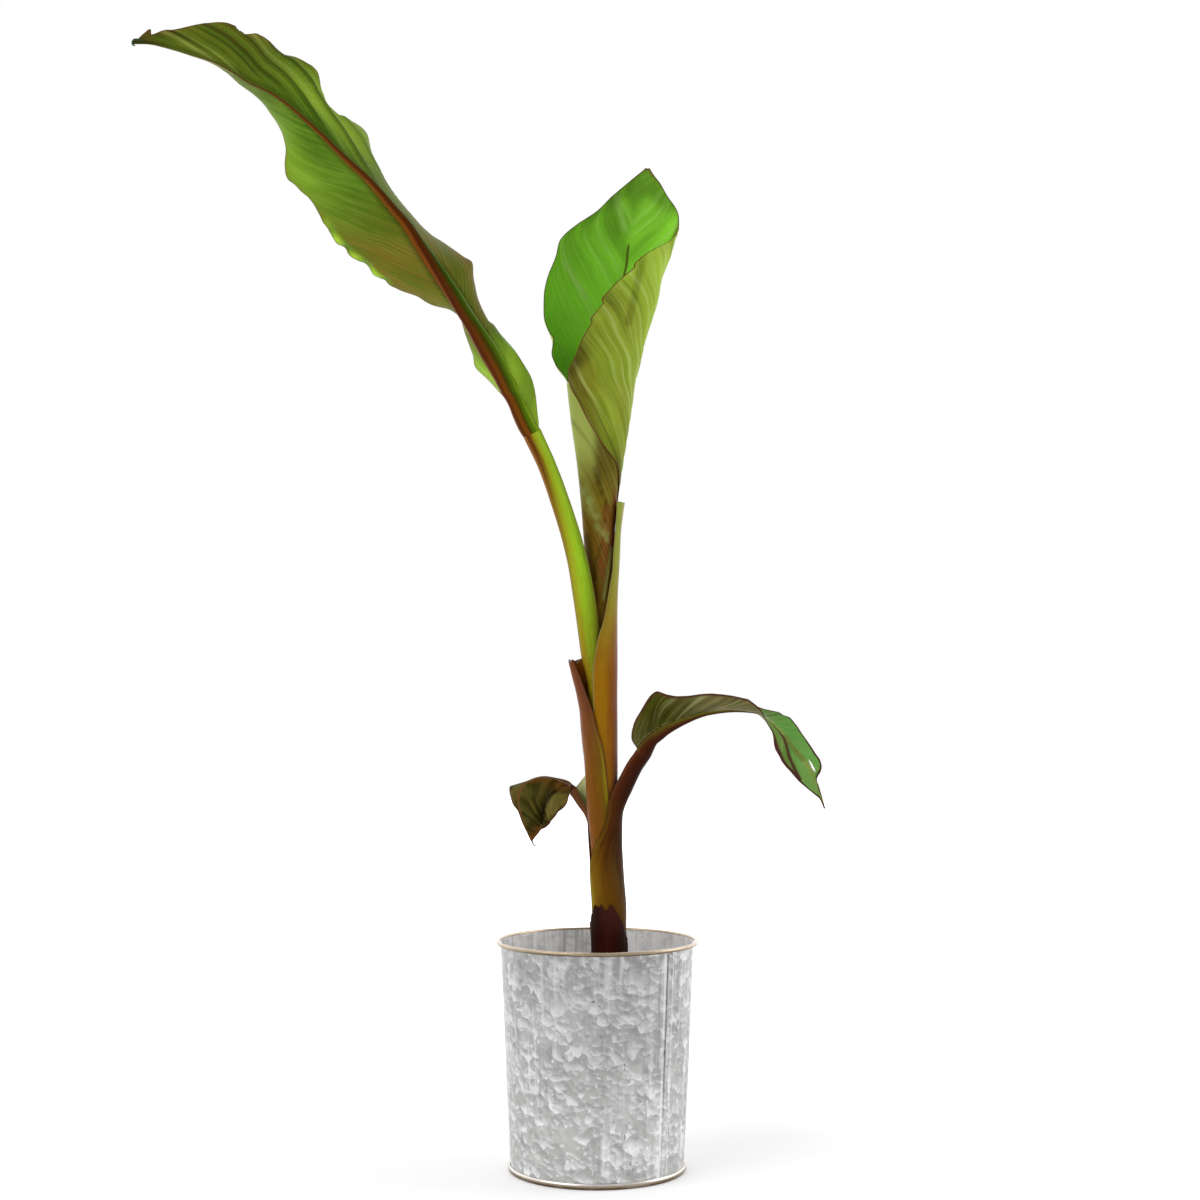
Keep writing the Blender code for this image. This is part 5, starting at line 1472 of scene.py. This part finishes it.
def zinc_material(name, tone=1, metallic=0.8, roughness=0.40, inside=False):
    """Weathered galvanised sheet: crystals with a painted highlight on their lower edges and
    painted shade above, streaks, specks and stains.
    """
    made, build, shader = new_material(name)
    place = build.place()
    across, height, _ = build.parts(build.own_map("flow"))
    base, dark, pale = [tuple(min(tone * value, 950) for value in colour)
        for colour in ((385, 382, 377), (235, 232, 230), (660, 660, 670))]
    mottled = build.noise(place, 48, 5, 0.65)
    colour = build.lay(base, dimmed(base, 0.78), mottled, 0.66, 0.34)
    colour = build.lay(colour, pale, build.noise(place, 11, 4, 0.55), 0.50, 0.70, 0.22)
    # Crystals of three sizes, each with a painted highlight on its lower edge and painted shade on
    # its upper side.
    crystals = None
    drift = build.vectors("SUBTRACT", build.texture(place, 62, 2, 0.45)[1], (0.5, 0.5, 0.5))
    for scale, reach, share in ((44, 0.026, 0.62), (82, 0.016, 0.72), (150, 0.008, 0.50)):
        moved = build.vectors("ADD", place, build.scaled(drift, (reach, reach, reach)))
        cells = build.cells(moved, scale)
        offset = build.parts(build.vectors("SUBTRACT", moved, cells["Position"]))
        lean = build.times(build.plus(offset[2], build.times(offset[0], 0.45)), -scale)
        pick = build.parts(cells["Color"])
        crystal_shade = build.times(build.smooth(lean, 0.1, -0.45), build.smooth(pick[1], 0.5, 1))
        colour = build.mix(build.times(crystal_shade, 0.58), colour, dark)
        edge = build.times(build.smooth(lean, -0.15, 0.62), build.smooth(pick[0], 0.35, 0.90))
        edge = build.times(edge, share)
        colour = build.mix(edge, colour, pale)
        crystals = edge if crystals is None else build.math("MAXIMUM", crystals, edge)
    # Streaks that run down, mostly beside the seams and in patches.
    streak = build.noise(build.scaled(place, (130, 130, 5.5)), 1, 4, 0.6)
    seam_side = build.math("PINGPONG", across, HALF_ROUND)
    patch = build.smooth(build.noise(build.scaled(place, (18, 18, 7))), 0.46, 0.66)
    patch = build.plus(patch, 0.15)
    near = 1 if inside else build.math("MAXIMUM", build.smooth(seam_side, 0.085, 0.01),
        build.smooth(seam_side, 0.155, 0.225, 0, 0.9))
    near = build.math("MAXIMUM", near, patch, clamp=True)
    for low, high, share, tint in ((0.52, 0.68, 0.80 if inside else 0.55, pale),
                                   (0.46, 0.30, 0.95 if inside else 0.6, dark)):
        mask = build.times(build.smooth(streak, low, high), near)
        colour = build.mix(build.times(mask, share), colour, tint)
    # Pale dots and dark specks.
    cells = build.cells(build.scaled(place, (1, 1, 0.75)), 130)
    chosen = build.smooth(build.parts(cells["Color"])[0], 0.88, 0.92)
    dots = build.times(build.smooth(cells["Distance"], 0.30, 0.12), chosen)
    colour = build.mix(build.times(dots, 0.75), colour, pale)
    specks = build.noise(build.scaled(place, (1, 1, 0.7)), 330)
    rows = build.smooth(build.noise(build.scaled(place, (60, 60, 9))), 0.55, 0.66)
    specks = build.times(build.smooth(specks, 0.64, 0.72), rows)
    colour = build.mix(build.times(specks, 0.75), colour, (70, 65, 65))
    if not inside:
        # Lines beside the lapped edge: place, half widths, strength, fade with height, colour.
        lines = [
            (0.0030, 0.0013, 0.0004, 0.50, (0.02, 0.20, 0.25, 1), (100, 100, 100)),
            (0.0062, 0.0016, 0.0006, 0.35, None, pale),
            (0.0125, 0.0012, 0.0004, 0.45, (0.06, 0.24), dark)]
        for middle, wide, narrow, strength, fade, tint in lines:
            gap = build.math("ABSOLUTE", build.minus(seam_side, middle))
            line = build.smooth(gap, wide, narrow, 0, strength)
            if fade:
                line = build.times(line, build.smooth(height, *fade))
            colour = build.mix(line, colour, tint)
        # Painted light and shade: the wall is made lighter towards the bottom and darker towards
        # the top.
        tone = build.smooth(height, 0, 0.245, 1.40, 0.76)
        colour = build.tinted(colour, build.vector(tone, tone, tone))
    rough = build.plus(roughness, build.times(build.minus(mottled, 0.5), 0.3))
    rough = build.minus(rough, build.times(crystals, 0.06))
    relief = build.plus(build.times(mottled, 0.6), crystals)
    set_surface(build, shader, colour, rough, relief, 0.12, 0.0008)
    shader["Metallic"].default_value = metallic
    return made


def brassy_material(name, middle, above):
    """The dull gold-brown of a worn edge, darker below its middle height and lighter above it:
    painted shade and a painted highlight.
    """
    made, build, shader = new_material(name)
    place = build.place()
    worn = build.noise(place, 30, 3)
    fine = build.noise(place, 240, 3, 0.6)
    level = build.minus(build.parts(place)[2], middle)
    # Painted shade below the middle height, a painted highlight above it.
    colour = build.lay((110, 75, 40), (310, 235, 155), level, -0.0016, 0.0006)
    colour = build.lay(colour, above, level, 0.0002, 0.0018)
    colour = build.lay(colour, (420, 360, 290), worn, 0.45, 0.65, 0.35)
    colour = build.lay(colour, (120, 80, 50), fine, 0.40, 0.28, 0.25)
    rough = build.smooth(worn, 0.3, 0.7, 0.30, 0.24)
    set_surface(build, shader, colour, rough, fine, 0.04, 0.0003)
    shader["Metallic"].default_value = 0.8
    return made


def build_bucket(settings):
    """The sheet metal wall, the rolled rim, the foot band and the lapped seam."""
    top = POT_HEIGHT - BEAD_RADIUS
    outside = [(wall_radius(z), z) for z in np.linspace(top, 0.8, 90)]
    inside = [(wall_radius(z) - SHEET, z) for z in np.linspace(SHEET + 0.3, top, 30)]
    wall = turned("pot_wall_fine", [(0.05, 0), (60, 0), (wall_radius(0) - 0.8, 0)] + outside[::-1]
        + inside[::-1] + [(60, SHEET), (0.05, SHEET)], settings.segments, True, settings.dents)
    zinc = zinc_material("weathered_zinc_painted_light")
    wall.data.materials.append(zinc)
    # The inside is a much lighter, less metallic copy of the zinc: painted light on the inner
    # wall.
    wall.data.materials.append(zinc_material("inner_zinc_painted_light", 2.3, 0.30, 0.45, True))
    for face in wall.data.polygons:
        middle = face.center
        if math.hypot(middle.x, middle.y) < (wall_radius(middle.z / MM) - 0.75 * SHEET) * MM:
            face.material_index = 1 if middle.z > 0.0008 else 0
    finish_piece(wall, ["pot_wall"], 40)

    brass = brassy_material("worn_brassy_zinc_painted_highlight", top * MM, (340, 275, 200))
    deselect_all()
    bpy.ops.mesh.primitive_torus_add(major_radius=BEAD_RING_RADIUS * MM,
        minor_radius=(BEAD_RADIUS - 0.05) * MM, major_segments=256, minor_segments=24)
    bead = bpy.context.active_object
    bead.name = bead.data.name = "pot_rim_bead_fine"
    for vertex in bead.data.vertices:
        vertex.co.z += top * MM
        lift = noise.noise(vertex.co * 60) * 0.00016
        vertex.co.x *= 1 - abs(lift) / 0.109
        vertex.co.y *= 1 - abs(lift) / 0.109
    bead.data.materials.append(brass)
    finish_piece(bead, ["pot_rim_bead"])

    inner = wall_radius(6) + GAP
    band = turned("pot_foot_band_fine", [(inner, 0.2), (inner + 0.9, 0), (inner + 1.4, 0.8),
        (inner + 1.6, 2), (inner + 1.6, 3.2), (inner + 1.4, 4.4), (inner + 0.9, 5.4),
        (inner + 0.4, 5.9), (inner, 5.8)], 256, True, 0.05)
    band.data.materials.append(brassy_material("foot_band_zinc", 2.8 * MM, (620, 590, 550)))
    finish_piece(band, ["pot_foot_band"], 50)

    build_seam(zinc)


def build_seam(zinc):
    """The lapped edge of the sheet: a thin strip with soft edges, a little uneven."""
    rows, low, high = 120, 8, POT_HEIGHT - 3 * BEAD_RADIUS
    section = [(-3, -0.3), (-2.8, 0.15), (-2.2, 0.4), (-1, 0.5), (1, 0.45), (2.2, 0.3),
        (2.8, 0.05), (3, -0.3), (2, -0.35), (0, -0.35), (-2, -0.35), (-3, -0.3)]
    middle = math.radians(SEAM_ANGLE)
    points = np.zeros((rows, len(section), 3))
    flow = np.zeros((rows, len(section), 2))
    for row, z in enumerate(np.linspace(low, high, rows)):
        for column, (aside, raise_by) in enumerate(section):
            wander = 0.25 * grain((0, 0, z), 28, 2)
            radius = wall_radius(z) + GAP + raise_by * (1 + 0.1 * grain((aside, 0, z), 12, 4))
            angle = middle - (aside + wander) / wall_radius(z)
            points[row, column] = (radius * math.cos(angle), radius * math.sin(angle), z)
            flow[row, column] = (aside * MM, z * MM)
    seam = tube("pot_side_seam_fine", points, {"flow": flow}, zinc)
    finish_piece(seam, ["pot_side_seam"], 40)


# ---------- soil
def soil_material():
    """Dark potting mix with lighter crumbs."""
    made, build, shader = new_material("potting_mix")
    place = build.place()
    fine = build.noise(place, 330, 4, 0.7)
    colour = build.lay((12, 8, 5), (40, 24, 13), build.noise(place, 40, 5, 0.65), 0.38, 0.62)
    colour = build.lay(colour, (85, 52, 28), fine, 0.55, 0.72, 0.6)
    set_surface(build, shader, colour, build.smooth(fine, 0.3, 0.7, 0.95, 0.75), fine, 0.8, 0.002)
    return made


def bit_material(name, light, dark, scale):
    """Loose bits on the soil: bark or light grains."""
    made, build, shader = new_material(name)
    place = build.place()
    fine = build.noise(place, scale * 6, 3, 0.6)
    colour = build.lay(dark, light, build.noise(place, scale, 4, 0.6), 0.35, 0.65)
    colour = build.lay(colour, dimmed(dark, 0.5), fine, 0.5, 0.3, 0.4)
    set_surface(build, shader, colour, build.smooth(fine, 0.3, 0.7, 0.9, 0.7), fine, 0.5, 0.001)
    return made


def soil_height(x, y):
    """Height of the soil's surface at a place, in millimetres."""
    out = math.hypot(x, y)
    height = SOIL_TOP - 3.4 - 2.4 * max(0, (out - 60) / 45)
    height += 2.2 * math.exp(-((out - 14) / 26) ** 2)
    height += 1.5 * grain((x, y, 0), 26, 1) + 1 * grain((x, y, 5), 8, 2)
    return min(height + 0.7 * grain((x, y, 9), 3, 3), SOIL_TOP - 0.1)


def scatter(name, places, sizes, flat, seed, material):
    """Uneven bits lying on the soil, from a rounded primitive copied to each place."""
    deselect_all()
    bpy.ops.mesh.primitive_ico_sphere_add(subdivisions=2, radius=1)
    piece = bpy.context.active_object
    piece.name = piece.data.name = name
    base = np.array([vertex.co[:] for vertex in piece.data.vertices])
    faces = [tuple(face.vertices) for face in piece.data.polygons]
    random = np.random.default_rng(seed)
    points, all_faces = [], []
    for index, ((x, y), size) in enumerate(zip(places, sizes)):
        shape = base * (1 + 0.35 * np.array([[grain(p * 10, 9, index * 1.7)] for p in base]))
        shape = shape * size * random.uniform((0.7, 0.5, flat), (1.5, 1, flat * 1.6))
        turn = Vector((random.uniform(-1, 1), random.uniform(-1, 1), 3)).to_track_quat("Z", "Y")
        spin = random.uniform(0, TURN)
        wheel = np.array([[math.cos(spin), -math.sin(spin), 0], [math.sin(spin), math.cos(spin),
            0], [0, 0, 1]])
        shape = shape @ wheel.T @ np.array(turn.to_matrix()).T
        top = soil_height(x, y) + 0.35 * size
        all_faces += [tuple(corner + len(points) * len(base) for corner in face) for face in faces]
        points.append(shape + (x, y, top))
    mesh = bpy.data.meshes.new(name)
    mesh.from_pydata([tuple(point) for point in np.concatenate(points) * MM], [], all_faces)
    old = piece.data
    piece.data = mesh
    bpy.data.meshes.remove(old)
    mesh.name = name
    mesh.materials.append(material)
    return piece


def build_soil(settings):
    """Uneven potting mix with bark and light grains on it."""
    rings, columns = 90, 200
    edge = wall_radius(SOIL_TOP) - SHEET - GAP - 0.3
    radii = np.concatenate([[0.05], np.linspace(4, edge, rings - 3),
        [edge, wall_radius(SOIL_FOOT) - 3]])
    angles = np.linspace(0, TURN, columns + 1)
    points = np.zeros((len(radii), columns + 1, 3))
    for row, radius in enumerate(radii):
        for column, angle in enumerate(angles):
            x, y = radius * math.cos(angle), radius * math.sin(angle)
            points[row, column] = (x, y, soil_height(x, y) if row < rings - 1 else SOIL_FOOT)
    flow = np.zeros(points.shape[:2] + (2,))
    soil = tube("potting_soil_fine", points, {"flow": flow}, soil_material())
    random = np.random.default_rng(5)

    def spread(count, smallest, largest):
        far = np.sqrt(random.uniform(0.05, 0.90, count)) * (edge - 3)
        turn = random.uniform(0, TURN, count)
        return (np.stack([far * np.cos(turn), far * np.sin(turn)], 1),
            smallest + (largest - smallest) * random.uniform(0, 1, count) ** 2.5)

    bark = scatter("potting_bark", *spread(settings.bits, 1.3, 5), 0.3, 7,
        bit_material("bark_bits", (130, 65, 30), (30, 14, 7), 90))
    grains = scatter("potting_grains", *spread(settings.bits // 3, 0.8, 2.2), 0.7, 8,
        bit_material("pale_grains", (620, 600, 540), (400, 370, 310), 300))
    piece = join([soil, bark, grains], "potting_soil_fine")
    finish_piece(piece, ["potting_soil"])


# ---------- core, stage, camera
def dress_core():
    """The hidden inner stem is carried over from the model with a skin of its own."""
    made, build, shader = new_material("inner_stem_skin")
    place = build.place()
    streak = build.noise(build.scaled(place, (220, 220, 14)), 1, 3)
    colour = build.lay((100, 90, 20), (200, 220, 50), streak, 0.35, 0.65)
    rough = build.smooth(streak, 0.3, 0.7, 0.35, 0.5)
    set_surface(build, shader, colour, rough, streak, 0.3, 0.001)
    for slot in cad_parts["stem_core"].material_slots:
        slot.material = made


def build_stage(settings):
    """The pale floor, the soft studio light and the camera."""
    scene = bpy.context.scene
    scene.view_settings.view_transform = "Standard"
    deselect_all()
    bpy.ops.mesh.primitive_circle_add(vertices=128, radius=FLOOR_RADIUS, fill_type="NGON",
        location=(0, 0, FLOOR_DROP))
    floor = bpy.context.active_object
    floor.name = "floor"
    made, build, shader = new_material("pale_floor")
    place = build.place()
    far = build.add("ShaderNodeVectorMath", {0: place}, operation="LENGTH").outputs[1]
    mottled = build.noise(place, 7, 3)
    build.link(build.mix(mottled, (930, 930, 930), (960, 960, 960)), shader["Base Color"])
    shader["Roughness"].default_value = 0.7
    shader["Specular IOR Level"].default_value = 0.15
    glow = build.plus(settings.floor_glow, build.smooth(far, 0.5, 1.6))
    build.link(glow, shader["Emission Strength"])
    shader["Emission Color"].default_value = WHITE
    floor.data.materials.append(made)

    world = bpy.data.worlds.new("studio")
    scene.world = world
    world.use_nodes = True
    build = Nodes(world.node_tree)
    world.node_tree.nodes.clear()
    way = build.parts(build.add("ShaderNodeTexCoord").outputs["Generated"])
    behind = build.smooth(way[1], -0.95, -0.2, settings.front_light, 1)
    above = build.smooth(way[2], -0.4, 0.9, 0.70, 1.2)
    strength = build.times(build.times(behind, above), settings.sky_light)
    mirrored = build.times(build.smooth(way[1], -0.85, 0.85, settings.front_gleam, 1.95),
        build.smooth(way[2], -0.5, 0.8, 0.95, 1.05))
    mirrored = build.times(mirrored, build.smooth(way[0], 0.1, 1, 1, 1.22))
    rays = build.add("ShaderNodeLightPath").outputs
    strength = build.add("ShaderNodeMix", {0: rays["Is Glossy Ray"], 2: strength, 3: mirrored},
        data_type="FLOAT").outputs[0]
    soft = build.add("ShaderNodeBackground", {0: WHITE, 1: strength}).outputs[0]
    plain = build.add("ShaderNodeBackground", {0: WHITE, 1: 1}).outputs[0]
    mixed = build.add("ShaderNodeMixShader", {0: rays["Is Camera Ray"], 1: soft,
        2: plain}).outputs[0]
    build.add("ShaderNodeOutputWorld", {0: mixed})

    for name, place, aim, size, share in LIGHTS:
        deselect_all()
        bpy.ops.object.light_add(type="AREA", location=place)
        light = bpy.context.active_object
        light.name = light.data.name = name
        light.data.shape = "SQUARE"
        light.data.size = size
        light.data.energy = share * settings.key_light
        way = Vector((0, 0, aim)) - Vector(place)
        light.rotation_euler = way.to_track_quat("-Z", "Y").to_euler()

    bpy.ops.object.camera_add(location=CAMERA_PLACE, rotation=(math.pi / 2 + CAMERA_TILT, 0, 0))
    camera = bpy.context.active_object
    camera.data.lens = settings.lens
    camera.data.sensor_width = SENSOR_WIDTH
    camera.data.dof.use_dof = False
    scene.camera = camera


# ---------- add-on
class BananaStageSettings(bpy.types.PropertyGroup):
    lens: FloatProperty(name="Lens", description="Focal length in millimetres", default=60.0,
        min=20.0, max=200.0)
    key_light: FloatProperty(name="Key light", description="Power of the key light", default=46.0,
        min=0.0, max=500.0, subtype="POWER")
    sky_light: FloatProperty(name="Sky light", description="Strength of the light all round",
        default=0.78, min=0.0, max=3.0)
    front_light: FloatProperty(name="Front light", description="Share of it from the front",
        default=0.30, min=0.0, max=1.0, subtype="FACTOR")
    front_gleam: FloatProperty(name="Front gleam",
        description="Brightness mirrored from the front", default=0.62, min=0.0, max=2.0)
    floor_glow: FloatProperty(name="Floor glow", description="Light that the floor gives",
        default=0.06, min=0.0, max=1.0)


class BananaBucketSettings(bpy.types.PropertyGroup):
    segments: IntProperty(name="Segments", description="Steps round the wall", default=240, min=48,
        max=512)
    dents: FloatProperty(name="Dents", description="Depth of the wall's dents in millimetres",
        default=0.25, min=0.0, max=2.0)
    bits: IntProperty(name="Bits", description="Pieces of bark on the soil", default=420, min=0,
        max=2000)


class BananaPlantSettings(bpy.types.PropertyGroup):
    columns: IntProperty(name="Columns", description="Points across a stalk's outer face",
        default=36, min=8, max=80)
    rows: IntProperty(name="Rows", description="Sections along a stalk", default=160, min=20,
        max=400)
    thickness: FloatProperty(name="Blade thickness", description="In millimetres", default=0.8,
        min=0.2, max=3.0)
    lime: FloatVectorProperty(name="Lime", description="Brightest green of the stalks",
        subtype="COLOR", default=rgba(LIME)[:3], min=0.0, max=1.0)


class BananaStage(bpy.types.Operator):
    """Build the floor, the light and the camera"""
    bl_idname = "banana.stage"
    bl_label = "Stage"

    def execute(self, context):
        build_stage(context.scene.banana_stage)
        return {"FINISHED"}


class BananaBucket(bpy.types.Operator):
    """Build the zinc bucket"""
    bl_idname = "banana.bucket"
    bl_label = "Bucket"

    def execute(self, context):
        build_bucket(context.scene.banana_bucket)
        return {"FINISHED"}


class BananaSoil(bpy.types.Operator):
    """Build the potting soil"""
    bl_idname = "banana.soil"
    bl_label = "Soil"

    def execute(self, context):
        build_soil(context.scene.banana_bucket)
        return {"FINISHED"}


class BananaStem(bpy.types.Operator):
    """Build the nested leaf bases and the leaf stalks"""
    bl_idname = "banana.stem"
    bl_label = "Stem"

    def execute(self, context):
        build_stem_pieces(context.scene.banana_plant)
        dress_core()
        return {"FINISHED"}


class BananaBigLeaf(bpy.types.Operator):
    """Build the big leaf's blade and midrib"""
    bl_idname = "banana.big_leaf"
    bl_label = "Big leaf"

    def execute(self, context):
        build_big_leaf(context.scene.banana_plant)
        return {"FINISHED"}


class BananaRightLeaf(bpy.types.Operator):
    """Build the drooping right leaf's blade and midrib"""
    bl_idname = "banana.right_leaf"
    bl_label = "Right leaf"

    def execute(self, context):
        build_right_leaf(context.scene.banana_plant)
        return {"FINISHED"}


class BananaSmallLeaf(bpy.types.Operator):
    """Build the small left leaf's blade and midrib"""
    bl_idname = "banana.small_leaf"
    bl_label = "Small leaf"

    def execute(self, context):
        build_small_leaf(context.scene.banana_plant)
        return {"FINISHED"}


class BananaRolledLeaf(bpy.types.Operator):
    """Build the youngest leaf, still rolled"""
    bl_idname = "banana.rolled_leaf"
    bl_label = "Rolled leaf"

    def execute(self, context):
        build_rolled_leaf(context.scene.banana_plant)
        build_rolled_cone()
        return {"FINISHED"}


OPERATORS = (BananaStage, BananaBucket, BananaSoil, BananaStem, BananaBigLeaf, BananaRightLeaf,
    BananaSmallLeaf, BananaRolledLeaf)


class BananaPanel(bpy.types.Panel):
    """The plant's settings and the buttons that build it"""
    bl_idname = "VIEW3D_PT_banana_plant"
    bl_label = "Banana Plant"
    bl_space_type = "VIEW_3D"
    bl_region_type = "UI"
    bl_category = "Banana Plant"

    def draw(self, context):
        layout = self.layout
        scene = context.scene
        for settings in (scene.banana_stage, scene.banana_bucket, scene.banana_plant):
            box = layout.box()
            for name in settings.bl_rna.properties.keys():
                if name not in ("rna_type", "name"):
                    box.prop(settings, name)
        for operator in OPERATORS:
            layout.operator(operator.bl_idname)


CLASSES = (BananaStageSettings, BananaBucketSettings, BananaPlantSettings, *OPERATORS, BananaPanel)


def register():
    for cls in CLASSES:
        bpy.utils.register_class(cls)
    bpy.types.Scene.banana_stage = PointerProperty(type=BananaStageSettings)
    bpy.types.Scene.banana_bucket = PointerProperty(type=BananaBucketSettings)
    bpy.types.Scene.banana_plant = PointerProperty(type=BananaPlantSettings)


def unregister():
    del bpy.types.Scene.banana_plant
    del bpy.types.Scene.banana_bucket
    del bpy.types.Scene.banana_stage
    for cls in reversed(CLASSES):
        bpy.utils.unregister_class(cls)


def main():
    register()
    build_groups()
    bpy.ops.banana.stage()
    bpy.ops.banana.bucket()
    bpy.ops.banana.soil()
    bpy.ops.banana.stem()
    bpy.ops.banana.big_leaf()
    bpy.ops.banana.right_leaf()
    bpy.ops.banana.small_leaf()
    bpy.ops.banana.rolled_leaf()


if __name__ == "__main__":
    main()
